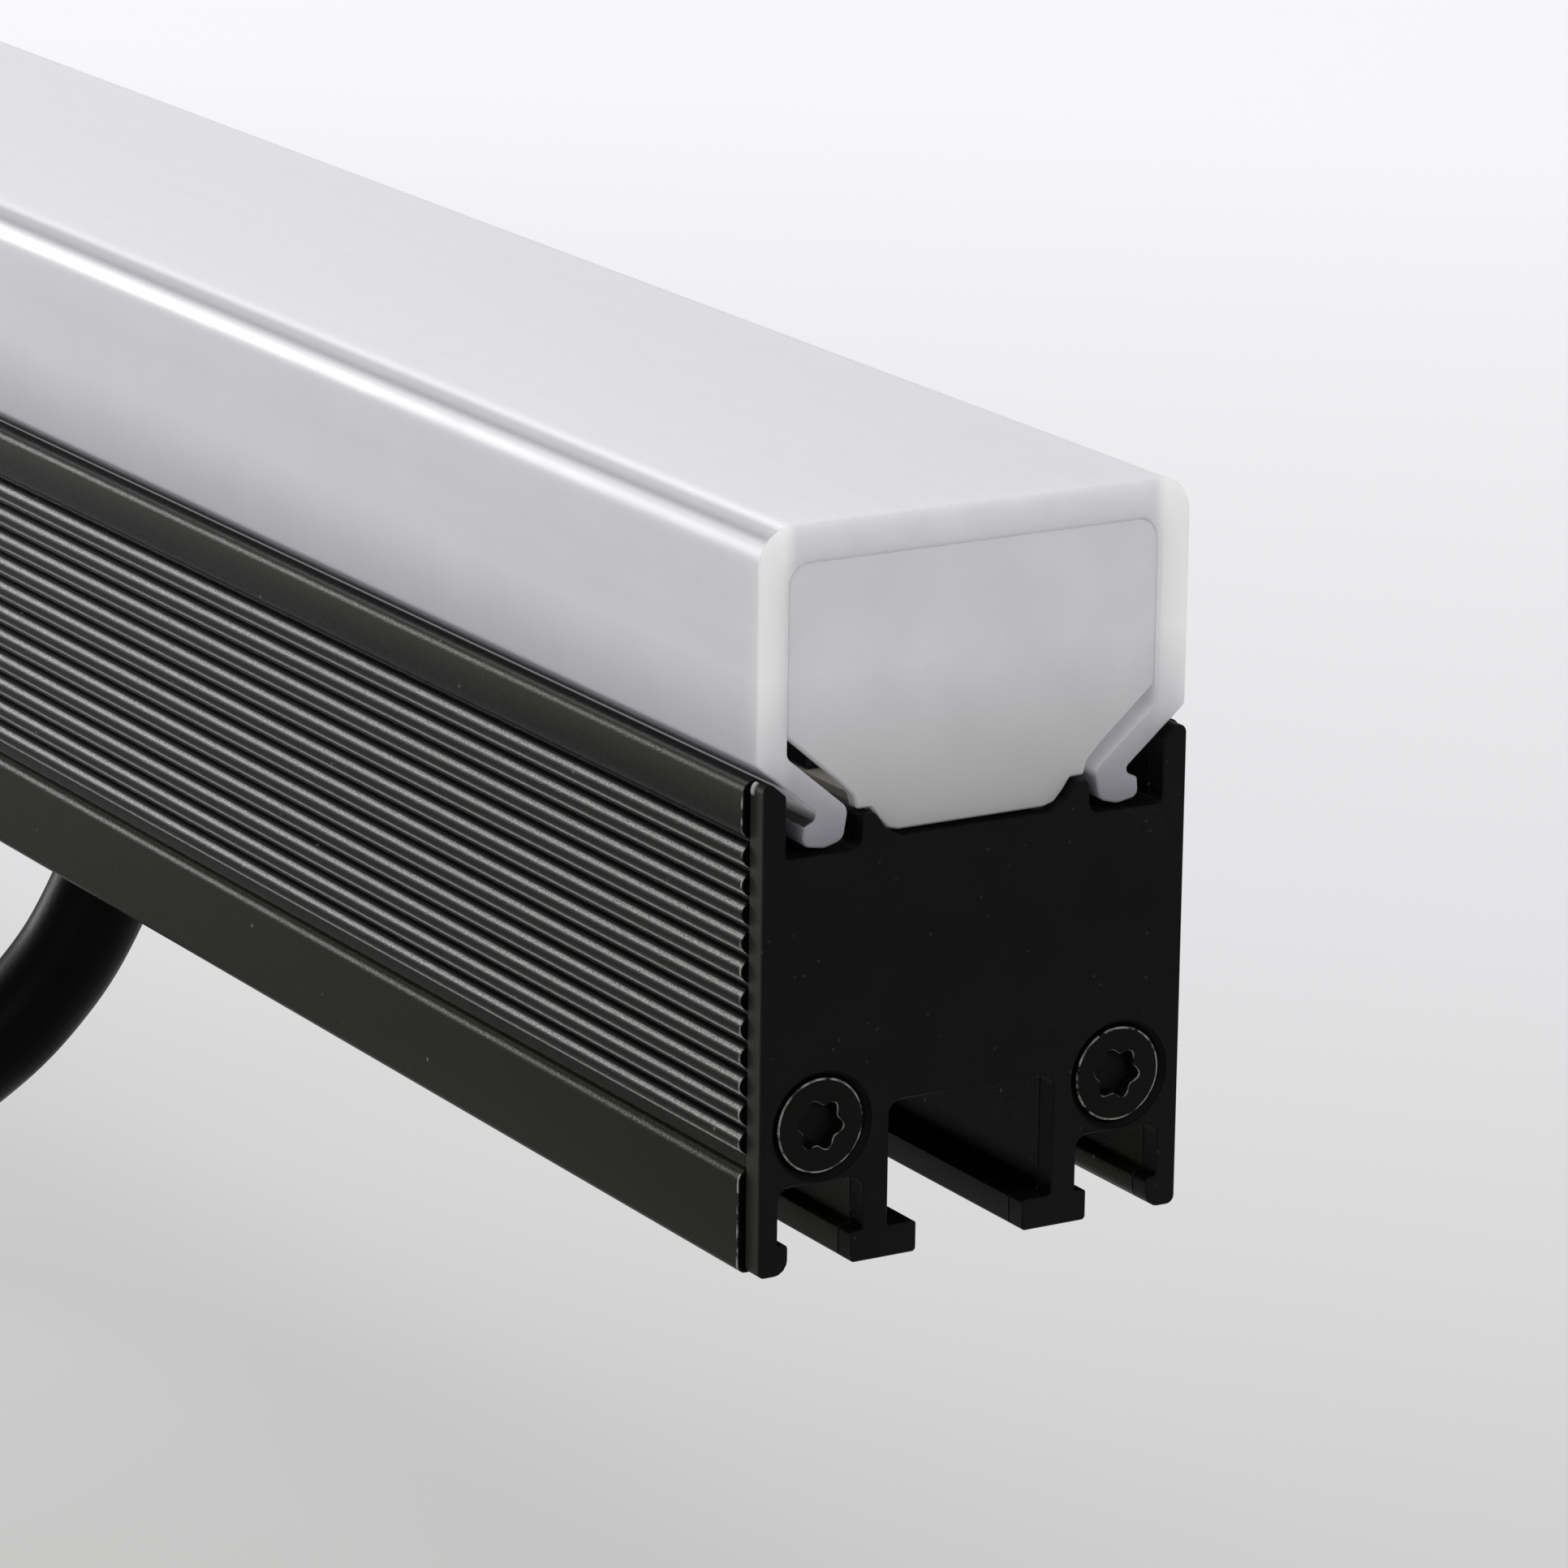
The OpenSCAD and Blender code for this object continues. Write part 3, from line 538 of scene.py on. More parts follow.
@dataclass
class Wiring:
    """Adds nodes to the tree of a material, a world or a shared effect."""

    tree: bpy.types.NodeTree

    def fill(self, socket: bpy.types.NodeSocket, value: Any) -> None:
        """Links a socket to another one, or sets its plain value or colour.

        Args:
            socket: the input to fill.
            value: an output to link, a plain value, or a colour's six digits.
        """
        if isinstance(value, bpy.types.NodeSocket):
            self.tree.links.new(value, socket)
        else:
            socket.default_value = hexed(value) if isinstance(value, str) else value

    def node(
        self, kind: str, inputs: dict[str | int, Any] | None = None, **words: Any
    ) -> bpy.types.Node:
        """Adds a shader node.

        Args:
            kind: the node's kind, without its common beginning.
            inputs: values or sockets for its inputs, by name or by number.
            words: its other settings.

        Returns:
            The new node.
        """
        made = self.tree.nodes.new("ShaderNode" + kind)
        for key, value in words.items():
            setattr(made, key, value)
        for key, value in (inputs or {}).items():
            self.fill(made.inputs[key], value)
        return made

    def sums(self, how: str, first: Any, second: Any = 0.0) -> bpy.types.NodeSocket:
        """One step of arithmetic on values."""
        return self.node("Math", {0: first, 1: second}, operation=how).outputs[0]

    def product(self, *factors: Any) -> Any:
        """Values multiplied with one another."""
        return reduce(lambda first, second: self.sums("MULTIPLY", first, second), factors)

    def size(self, value: Any) -> bpy.types.NodeSocket:
        """A value without its sign."""
        return self.sums("ABSOLUTE", value)

    def above(self, value: Any, span: Point, to: Point = (0, 1)) -> bpy.types.NodeSocket:
        """Rises from nothing to one, or from and to other values, over a span."""
        ends = {"From Min": span[0], "From Max": span[1], "To Min": to[0], "To Max": to[1]}
        return self.node("MapRange", {"Value": value, **ends}).outputs["Result"]

    def below(self, value: Any, span: Point) -> bpy.types.NodeSocket:
        """Falls from one to nothing over a span."""
        return self.above(value, span, (1, 0))

    def within(self, value: Any, span: Point, soft: float) -> Any:
        """One inside a span and nothing outside it, with soft ends.

        Args:
            value: the value that is tested.
            span: the low and the high end.
            soft: half the width of each soft end.

        Returns:
            The output with the result.
        """
        low, high = span
        rise = self.above(value, (low - soft, low + soft))
        return self.product(rise, self.below(value, (high - soft, high + soft)))

    def blend(self, share: Any, first: Any, second: Any) -> bpy.types.NodeSocket:
        """Blends from the first colour to the second by a share that varies.

        Args:
            share: how much of the second colour there is.
            first: the colour at nothing.
            second: the colour at one.

        Returns:
            The output with the blended colour.
        """
        made = self.node("Mix", data_type="RGBA")
        for index, value in ((0, share), (6, first), (7, second)):
            self.fill(made.inputs[index], value)
        return made.outputs[2]

    def noise(self, place: Any, scale: Any, detail: float) -> bpy.types.NodeSocket:
        """Cloudy values."""
        inputs = {"Vector": place, "Scale": scale, "Detail": detail}
        return self.node("TexNoise", inputs).outputs[0]

    def place(self) -> bpy.types.NodeSocket:
        """The place on the piece, in metres."""
        return self.node("TexCoord").outputs["Object"]

    def axes(self, place: Any) -> tuple[bpy.types.NodeSocket, ...]:
        """A place's X, Y and Z."""
        return tuple(self.node("SeparateXYZ", {0: place}).outputs)


def fresh(owner: bpy.types.Material | bpy.types.World) -> Wiring:
    """Clears the nodes of a material or a world and starts to wire it.

    Args:
        owner: the material or the world.

    Returns:
        The wiring of its empty tree.
    """
    owner.use_nodes = True
    owner.node_tree.nodes.clear()
    return Wiring(owner.node_tree)


class Effect(Enum):
    """Surface effects that finishes share: name, inputs after Vector, and outputs."""

    GRAIN = ("fine_grain", ("Scale", "Cloud"), ("Tone", "Height"))
    STREAKS = ("draw_streaks", ("Scale",), ("Mask",))
    SCUFFS = ("scuffs", ("Scale",), ("Mask",))
    WEAR = ("edge_wear", ("Scale", "Edge", "Amount"), ("Mask",))
    SPECKS = ("dust_specks", ("Scale",), ("Mask",))

    def group(self) -> bpy.types.NodeTree:
        """The effect's group, built when it is first asked for.

        Returns:
            The group, shared by all finishes.
        """
        title, takes, gives = self.value
        group = bpy.data.node_groups.get(title)
        if group is None:
            group = bpy.data.node_groups.new(title, "ShaderNodeTree")
            sockets = [("INPUT", "Vector", "NodeSocketVector")]
            sockets += [("INPUT", label, "NodeSocketFloat") for label in takes]
            sockets += [("OUTPUT", label, "NodeSocketFloat") for label in gives]
            for direction, label, kind in sockets:
                group.interface.new_socket(label, in_out=direction, socket_type=kind)
            start, end = (group.nodes.new("NodeGroup" + side) for side in ("Input", "Output"))
            made = Wiring(group)
            for label, result in zip(gives, RECIPES[self](made, start.outputs)):
                made.fill(end.inputs[label], result)
        return group

    def on(self, made: Wiring, **values: Any) -> Any:
        """Places the effect in a material with its own values, and gives its outputs.

        Args:
            made: the material's wiring.
            values: values or sockets for the effect's inputs, by name.

        Returns:
            The outputs of the placed effect.
        """
        node = made.node("Group", node_tree=self.group())
        for key, value in values.items():
            made.fill(node.inputs[key], value)
        return node.outputs


def grain(made: Wiring, given: Any) -> tuple[Any, ...]:
    """A cloudy tone and a fine pitted height."""
    tone = made.above(made.noise(given["Vector"], given["Cloud"], 5.0), (0.3, 0.7))
    return tone, made.noise(given["Vector"], given["Scale"], 3.0)


def streaks(made: Wiring, given: Any) -> tuple[Any, ...]:
    """Long fine lines along X, as a drawn profile has."""
    squeezed = made.node("Mapping", {"Vector": given["Vector"], "Scale": (0.012, 1.0, 1.0)})
    return (made.above(made.noise(squeezed.outputs[0], given["Scale"], 4.0), (0.35, 0.68)),)


def scuffs(made: Wiring, given: Any) -> tuple[Any, ...]:
    """Short thin scratches that lie in a few directions.

    Args:
        made: the group's wiring.
        given: the group's inputs.

    Returns:
        The mask, alone in a tuple.
    """
    here = made.above(made.noise(given["Vector"], given["Scale"], 2.0), (0.6, 0.72))
    total: Any = 0.0
    for turned, reach in ((0.5, 1.0), (1.9, 1.4), (2.7, 0.8)):
        swirl = made.node(
            "Mapping",
            {
                "Vector": given["Vector"],
                "Rotation": (turned, turned * 0.4, 0.3),
                "Scale": (reach, 14.0, 14.0),
            },
        )
        inputs = {"Vector": swirl.outputs[0], "Scale": given["Scale"]}
        cells = made.node("TexVoronoi", inputs, feature="DISTANCE_TO_EDGE")
        line = made.below(cells.outputs["Distance"], (0.0, 0.02))
        total = made.sums("MAXIMUM", made.product(line, here), total)
    return (total,)


def wear(made: Wiring, given: Any) -> tuple[Any, ...]:
    """Bright bare spots along the marked edges.

    Args:
        made: the group's wiring.
        given: the group's inputs.

    Returns:
        The mask, alone in a tuple.
    """
    spots = made.noise(given["Vector"], given["Scale"], 4.0)
    near = made.sums("ADD", made.product(given["Edge"], given["Amount"]), spots)
    return (made.above(near, (0.95, 1.15)),)


def specks(made: Wiring, given: Any) -> tuple[Any, ...]:
    """Tiny pale dust specks, a few here and there.

    Args:
        made: the group's wiring.
        given: the group's inputs.

    Returns:
        The mask, alone in a tuple.
    """
    cells = made.node("TexVoronoi", {"Vector": given["Vector"], "Scale": given["Scale"]})
    dot = made.below(cells.outputs["Distance"], (0.05, 0.11))
    chosen = made.node("SeparateColor", {0: cells.outputs["Color"]}).outputs[0]
    return (made.product(dot, made.above(chosen, (0.86, 0.9))),)


RECIPES = {
    Effect.GRAIN: grain,
    Effect.STREAKS: streaks,
    Effect.SCUFFS: scuffs,
    Effect.WEAR: wear,
    Effect.SPECKS: specks,
}
DUST_TONE = "#b9b8b4"
SCUFF_SCALE = 60.0
PIT_DEPTH = 0.00005


@dataclass(frozen=True)
class Finish:
    """A surface finish: two close tones, wear, scuffs, dust and a fine relief."""

    name: str
    slot: str
    tone: str
    deep: str
    worn: str = "#8d8d8a"
    rough: Point = (0.35, 0.5)
    specular: float = 0.5
    metallic: float = 0.0
    grain: float = 3000.0
    cloud: float = 180.0
    speck: float = 420.0
    streaks: float = 0.0
    wear: float = 0.0
    scuffs: float = 0.0
    dust: float = 0.0
    relief: float = 0.15
    subsurface: float = 0.0
    soak: float = 0.004

    def material(self) -> bpy.types.Material:
        """The finish as a material, made when it is first asked for.

        Returns:
            The material.
        """
        title = self.name + "_finish"
        made = bpy.data.materials.get(title)
        if made is None:
            made = bpy.data.materials.new(title)
            self.build(fresh(made))
        return made

    def build(self, made: Wiring) -> None:
        """Wires the finish in a material's tree.

        Args:
            made: the material's wiring.
        """
        place = made.place()
        pits = Effect.GRAIN.on(made, Vector=place, Scale=self.grain, Cloud=self.cloud)
        tone = pits["Tone"]
        if self.streaks:
            lines = Effect.STREAKS.on(made, Vector=place, Scale=self.grain * 0.5)[0]
            kept = made.product(tone, 1 - self.streaks)
            tone = made.sums("ADD", made.product(lines, self.streaks), kept)
        colour, bare = self.own_marks(
            made, place, made.blend(tone, self.tone, self.deep), self.bared(made, place)
        )
        if bare is not None:
            colour = made.blend(bare, colour, self.worn)
        if self.dust:
            dots = Effect.SPECKS.on(made, Vector=place, Scale=self.speck)[0]
            colour = made.blend(made.product(dots, self.dust), colour, DUST_TONE)
        height = {"Height": pits["Height"], "Strength": self.relief, "Distance": PIT_DEPTH}
        sockets = {
            "Base Color": colour,
            "Roughness": made.above(tone, (0.0, 1.0), self.rough),
            "Normal": made.node("Bump", height).outputs[0],
            "Metallic": self.metallic,
            "Specular IOR Level": self.specular,
            "Subsurface Weight": self.subsurface,
            "Subsurface Radius": (1.0, 1.0, 1.0),
            "Subsurface Scale": self.soak,
        }
        shader = made.node("BsdfPrincipled", sockets | self.own_light(made, place))
        made.node("OutputMaterial", {0: shader.outputs[0]})

    def bared(self, made: Wiring, place: Any) -> Any:
        """Where wear and scuffs bare the surface, or None.

        Args:
            made: the material's wiring.
            place: the place on the piece.

        Returns:
            The mask, or None where the finish has neither wear nor scuffs.
        """
        bare: Any = None
        if self.wear:
            edge = made.node("Attribute", attribute_name="edge").outputs["Fac"]
            bare = Effect.WEAR.on(
                made, Vector=place, Scale=self.grain * 0.35, Edge=edge, Amount=self.wear
            )[0]
        if self.scuffs:
            marks = Effect.SCUFFS.on(made, Vector=place, Scale=SCUFF_SCALE)[0]
            marks = made.product(marks, self.scuffs)
            bare = marks if bare is None else made.sums("MAXIMUM", bare, marks)
        return bare

    def own_marks(self, made: Wiring, place: Any, colour: Any, bare: Any) -> tuple[Any, Any]:
        """Marks that only this finish has: the colour and the bare mask after them."""
        return colour, bare

    def own_light(self, made: Wiring, place: Any) -> dict[str, Any]:
        """The sockets of the light that comes through the piece itself: here none."""
        return {}


# Spans are in metres on the piece, rib spans in shares of the ribs' pitch.


@dataclass(frozen=True)
class BarFinish(Finish):
    """The housing's black: a browner low band, painted sheen on the upper band, painted shade in
    the slot, the grooves and the joint, painted highlights on the rib flanks and chipped rib ends
    with a painted glint.
    """

    low_tone: str = "#14140c"
    crown_sheen_tone: str = "#3c3b37"
    # The black of the painted shade in the slot, the grooves and the joint with the plate.
    hollow: str = "#050505"
    rib_highlight_tone: str = "#b0b0ad"
    low_band: Point = (0.0402, 0.0408)
    crown: Point = (0.0617, 0.0634)
    crown_sheen_share: float = 0.5
    flank: Point = (0.0145, 0.0147)
    slot_side: Point = (0.0057, 0.0059)
    slot_top: Point = (0.0436, 0.0440)
    cut_face: Point = (0.29845, 0.29848)
    tip_glint: Point = (0.29828, 0.29845)
    tip_glint_side: Point = (0.01478, 0.01488)
    rib_side: Point = (0.0138, 0.0139)
    ribbed: Point = (0.0411, 0.0604)
    first_rib: float = 0.041998
    pitch: float = 0.00174
    rib_top: Point = (0.3, 0.34)
    rib_foot: Point = (-0.45, -0.43)
    upper_reflection: Point = (0.17, 0.3)
    lower_reflection: Point = (-0.405, -0.2)

    def own_marks(self, made: Wiring, place: Any, colour: Any, bare: Any) -> tuple[Any, Any]:
        """Tints the low band, paints sheen on the upper band, paints shade in the slot, the
        grooves and the joint, paints highlights on the ribs and chips the ribs' ends with a
        painted glint.

        Args:
            made: the material's wiring.
            place: the place on the piece.
            colour: the colour so far.
            bare: the mask of the bared surface so far, or None.

        Returns:
            The colour and the mask after these marks.
        """
        x, y, z = made.axes(place)
        end, out = made.size(x), made.size(y)
        colour = made.blend(made.below(z, self.low_band), colour, self.low_tone)
        # Painted sheen: the top of the upper band is lighter.
        crown = made.product(made.above(z, self.crown), made.above(out, self.flank))
        colour = made.blend(made.product(crown, self.crown_sheen_share), colour, self.crown_sheen_tone)
        # Painted shade inside the slot.
        sunk = made.product(made.below(out, self.slot_side), made.below(z, self.slot_top))
        colour = made.blend(sunk, colour, self.hollow)
        colour = self.rib_shade_and_highlights(made, place, colour, z, out)
        # Painted shade on the cut ends, in the joint with the plate.
        colour = made.blend(made.above(end, self.cut_face), colour, self.hollow)
        # Bright ticks at the ribs' ends: chips, and a painted glint of their eased edges.
        tip_glint = made.product(made.within(end, self.tip_glint, 0.00002), made.above(out, self.tip_glint_side))
        chipped = made.product(tip_glint, made.above(made.noise(place, 1500.0, 3.0), (0.42, 0.6)))
        return colour, chipped if bare is None else made.sums("MAXIMUM", bare, chipped)

    def rib_shade_and_highlights(self, made: Wiring, place: Any, colour: Any, height: Any, out: Any) -> Any:
        """Paints two highlight lines on each rib, reflections on its upper and its lower flank,
        and paints shade at its top and its foot, where the grooves are.

        Args:
            made: the material's wiring.
            place: the place on the piece.
            colour: the colour so far.
            height: the place's Z.
            out: the place's distance from the middle of the profile.

        Returns:
            The colour with the ribs' painted shade and highlights.
        """
        steps = made.sums("DIVIDE", made.sums("SUBTRACT", height, self.first_rib), self.pitch)
        phase = made.sums("SUBTRACT", steps, made.sums("ROUND", steps))
        ribbed = made.product(
            made.within(height, self.ribbed, 0.0001), made.above(out, self.rib_side)
        )
        # Painted shade in the grooves at each rib's top and foot.
        dark = made.sums(
            "MAXIMUM", made.above(phase, self.rib_top), made.below(phase, self.rib_foot)
        )
        colour = made.blend(made.product(dark, ribbed), colour, self.hollow)
        # Painted highlights: the far lamp's reflection on each rib's upper flank and the floor's
        # reflection on its lower flank, with a fine speckle.
        high = made.product(made.within(phase, self.upper_reflection, 0.025), 0.8)
        lines = made.sums("MAXIMUM", high, made.within(phase, self.lower_reflection, 0.035))
        speckle = made.above(made.noise(place, 9000.0, 2.0), (0.38, 0.6), (0.35, 1))
        return made.blend(made.product(lines, speckle, ribbed), colour, self.rib_highlight_tone)


@dataclass(frozen=True)
class PlateFinish(Finish):
    """The end plate's black: greyer narrow sides, one chipped corner, painted shade in the
    countersinks.
    """

    side: str = "#2b2b28"
    chipped: str = "#c4c4c2"
    # The black of the painted shade in the countersinks.
    sunk: str = "#010101"
    flank: Point = (0.01445, 0.01453)
    chip_side: Point = (-0.0143, -0.0142)
    chip_foot: Point = (0.0631, 0.0633)
    chip_depth: Point = (0.2988, 0.2991)
    screw_y: float = 0.0103
    screw_z: float = 0.0428
    sink_shade_rim: Point = (0.00336, 0.00342)

    def own_marks(self, made: Wiring, place: Any, colour: Any, bare: Any) -> tuple[Any, Any]:
        """Greys the narrow sides, chips the corner by the joint and paints shade in the
        countersinks.

        Args:
            made: the material's wiring.
            place: the place on the piece.
            colour: the colour so far.
            bare: the mask of the bared surface so far, or None.

        Returns:
            The colour and the mask after these marks.
        """
        x, y, z = made.axes(place)
        out = made.size(y)
        colour = made.blend(made.above(out, self.flank), colour, self.side)
        chip = made.product(made.below(y, self.chip_side), made.above(z, self.chip_foot))
        chip = made.product(chip, made.below(x, self.chip_depth))
        colour = made.blend(chip, colour, self.chipped)
        # Painted shade in the countersinks round the screw heads.
        aside = made.sums("SUBTRACT", out, self.screw_y)
        over = made.sums("SUBTRACT", z, self.screw_z)
        square = made.sums("ADD", made.product(aside, aside), made.product(over, over))
        sink = made.below(made.sums("SQRT", square), self.sink_shade_rim)
        return made.blend(sink, colour, self.sunk), bare


@dataclass(frozen=True)
class OpalFinish(Finish):
    """An opal plastic with painted shade low down, where it stands in the profile, painted light
    on its sawn walls, painted shade in its notches and on its top corners, and a painted glow
    inside.
    """

    shade: str = "#8b8a93"
    high: float = 0.0700
    low: float = 0.0600
    sawn_wall_light: str = "#f3f3f5"
    notch_shade: str = "#1c1c1c"
    corner_shade: str = "#8f8f96"
    corner: float = 0.0
    glow: float = 0.0
    cut_face: Point = (0.29938, 0.29945)
    wall: Point = (0.0122, 0.013)
    notch_side: Point = (0.01035, 0.0105)
    notch_foot: Point = (0.0609, 0.06095)
    notch_top: Point = (0.0617, 0.0619)
    corner_foot: Point = (0.0780, 0.0783)
    corner_top: Point = (0.07872, 0.0789)
    corner_side: Point = (0.0129, 0.0132)
    room_side: Point = (0.01268, 0.0128)
    room_top: Point = (0.0767, 0.0769)
    room_foot: Point = (0.0612, 0.0617)

    def own_marks(self, made: Wiring, place: Any, colour: Any, bare: Any) -> tuple[Any, Any]:
        """Paints light on the sawn walls, and paints shade on the low part, in the notches and on
        the corners.

        Args:
            made: the material's wiring.
            place: the place on the piece.
            colour: the colour so far.
            bare: the mask of the bared surface so far, or None.

        Returns:
            The colour and the mask after these marks.
        """
        x, y, z = made.axes(place)
        end, out = made.size(x), made.size(y)
        # Painted light: the sawn end faces of the walls are paler.
        sawn_wall_light = made.product(made.above(end, self.cut_face), made.above(out, self.wall))
        colour = made.blend(sawn_wall_light, colour, self.sawn_wall_light)
        # Painted shade, darker towards the bottom, where the piece stands in the profile.
        colour = made.blend(made.below(z, (self.low, self.high)), colour, self.shade)
        length = made.below(end, self.cut_face)
        # Painted shade in the notch above each leg's toe.
        notch = made.product(made.above(z, self.notch_foot), made.below(z, self.notch_top))
        notch = made.product(notch, made.above(out, self.notch_side), length)
        colour = made.blend(notch, colour, self.notch_shade)
        # Painted shade: a darker band on the top corners, above the highlight.
        corner = made.product(made.above(z, self.corner_foot), made.below(z, self.corner_top))
        corner = made.product(corner, made.above(out, self.corner_side), length, self.corner)
        return made.blend(corner, colour, self.corner_shade), bare

    def own_light(self, made: Wiring, place: Any) -> dict[str, Any]:
        """Painted light: the inside of the box glows, in place of the light that comes through its
        walls.

        Args:
            made: the material's wiring.
            place: the place on the piece.

        Returns:
            The glow's sockets by name, or nothing for a finish without a glow.
        """
        if not self.glow:
            return {}
        x, y, z = made.axes(place)
        room = made.product(made.above(z, self.room_foot), made.below(z, self.room_top))
        room = made.product(
            room, made.below(made.size(y), self.room_side), made.below(made.size(x), self.cut_face)
        )
        return {
            "Emission Color": made.blend(room, "#000000", self.tone),
            "Emission Strength": self.glow,
        }


# The finishes: name, slot, light and dark tone, then what differs from a plain finish.

# fmt: off
BLACK_BAR = BarFinish(
    "black_bar", "black_aluminium", "#1b1a17", "#050504", rough=(0.26, 0.36), specular=0.06,
    grain=7000.0, cloud=2400.0, speck=700.0, streaks=0.3, dust=0.3, relief=0.4,
)
BLACK_PLATE = PlateFinish(
    "black_plate", "plate_black", "#0c0d0e", "#090a0b", worn="#5c5c5b", rough=(0.42, 0.56),
    specular=0.08, grain=2800.0, speck=900.0, wear=0.2, scuffs=0.1, dust=0.035, relief=0.2,
)
BLACK_SCREW = Finish(
    "black_screw", "black_steel", "#0c0c0b", "#080807", worn="#82827f", specular=0.07,
    grain=4000.0, wear=0.58, scuffs=0.12, relief=0.25,
)
BLACK_BRACKET = Finish(
    "black_bracket", "black_steel_plate", "#1a1a19", "#111110", worn="#7d7d7b",
    rough=(0.38, 0.6), specular=0.35, grain=2200.0, wear=0.55, scuffs=0.3, dust=0.3, relief=0.5,
)
STEEL = Finish(
    "bright_steel", "steel", "#b9b9b6", "#93938f", worn="#dcdcda", rough=(0.24, 0.42),
    metallic=1.0, grain=3600.0, wear=0.6, scuffs=0.4, relief=0.2,
)
# The opal's corner share and glow set its painted shade on the top corners and its painted glow
# inside.
OPAL = OpalFinish(
    "opal", "opal_plastic", "#dcdcdf", "#d5d5d9", rough=(0.28, 0.38), specular=0.28,
    grain=900.0, streaks=0.5, dust=0.15, relief=0.05, subsurface=0.6, corner=0.75, glow=0.2,
)
# The plug's painted shade starts lower, and its ends get no painted light.
OPAL_PLUG = OpalFinish(
    "opal_plug", "opal_plug", "#d8d8dc", "#cfcfd3", rough=(0.45, 0.6), specular=0.3,
    grain=1200.0, dust=0.2, relief=0.1, subsurface=0.2, shade="#a5a5a5", low=0.0595,
    sawn_wall_light="#d8d8dc",
)
BOARD = Finish(
    "board_white", "board_white", "#dcd9c8", "#cfccb9", grain=1500.0, relief=0.1, dust=0.2
)
TAPE = Finish(
    "heat_tape", "tape_grey", "#8d8e90", "#7c7d80", rough=(0.6, 0.75), grain=1500.0, relief=0.3
)
PHOSPHOR = Finish(
    "phosphor", "phosphor", "#e8cf63", "#d8b840", rough=(0.4, 0.55), grain=5000.0, relief=0.2
)
LAMP_CASE = Finish(
    "lamp_case", "white_plastic", "#e2e1dc", "#d6d5cf", grain=4000.0, relief=0.1
)
BLACK_PLASTIC = Finish(
    "black_plastic", "black_plastic", "#1a1a1b", "#121213", worn="#4d4d4d", rough=(0.4, 0.58),
    specular=0.4, grain=2400.0, wear=0.35, dust=0.35, relief=0.35,
)
WHITE_PLASTIC = Finish("white_plastic", "white_plastic", "#dededa", "#d0d0cb", grain=2000.0)
RED_WIRE = Finish("red_wire", "wire_red", "#a51c16", "#8a130f", grain=2500.0)
DARK_SEAL = Finish(
    "dark_seal", "seal_rubber", "#232323", "#1a1a1a", rough=(0.6, 0.8), grain=2600.0,
    relief=0.5, dust=0.4,
)
RED_SEAL = Finish(
    "red_seal", "seal_red", "#a3321d", "#8a2614", rough=(0.45, 0.65), grain=2600.0, relief=0.4
)
LEAD_RUBBER = Finish(
    "lead_rubber", "lead_rubber", "#050505", "#030303", worn="#242423", rough=(0.34, 0.46),
    specular=0.05, grain=2200.0, scuffs=0.1, dust=0.2, relief=0.35,
)
BRASS = Finish(
    "contact_brass", "contact_brass", "#c9a552", "#a98539", worn="#e9d79a", rough=(0.2, 0.35),
    metallic=1.0, grain=4000.0,
)
# fmt: on


# Sub-assemblies, in the order in which they are made.


@dataclass
class Viewpoint:
    """The camera of the photograph, fitted to the end of the light."""

    place: Place = (656.314, -225.708, 181.128)
    heading: float = 30.816
    fall: float = 15.776
    roll: float = 0.7145
    lens: float = 172.69
    sensor: float = 36.0
    clip: Point = (0.01, 50.0)

    def build(self) -> None:
        """Makes the camera and gives it to the scene."""
        heading, fall = math.radians(self.heading), math.radians(self.fall)
        level = Vector((-math.cos(heading), math.sin(heading), 0))
        ahead = level * math.cos(fall) - Vector((0, 0, math.sin(fall)))
        side = ahead.cross(Vector((0, 0, 1))).normalized()
        rise = side.cross(ahead)
        roll = math.radians(self.roll)
        right = side * math.cos(roll) + rise * math.sin(roll)
        up = rise * math.cos(roll) - side * math.sin(roll)
        data = bpy.data.cameras.new("camera")
        data.sensor_width, data.lens = self.sensor, self.lens
        data.clip_start, data.clip_end = self.clip
        camera = stand("camera", data)
        camera.matrix_world = Matrix.Translation(Vector(self.place) * MM) @ Matrix(
            (right, up, -ahead)
        ).transposed().to_4x4()
        bpy.context.scene.camera = camera


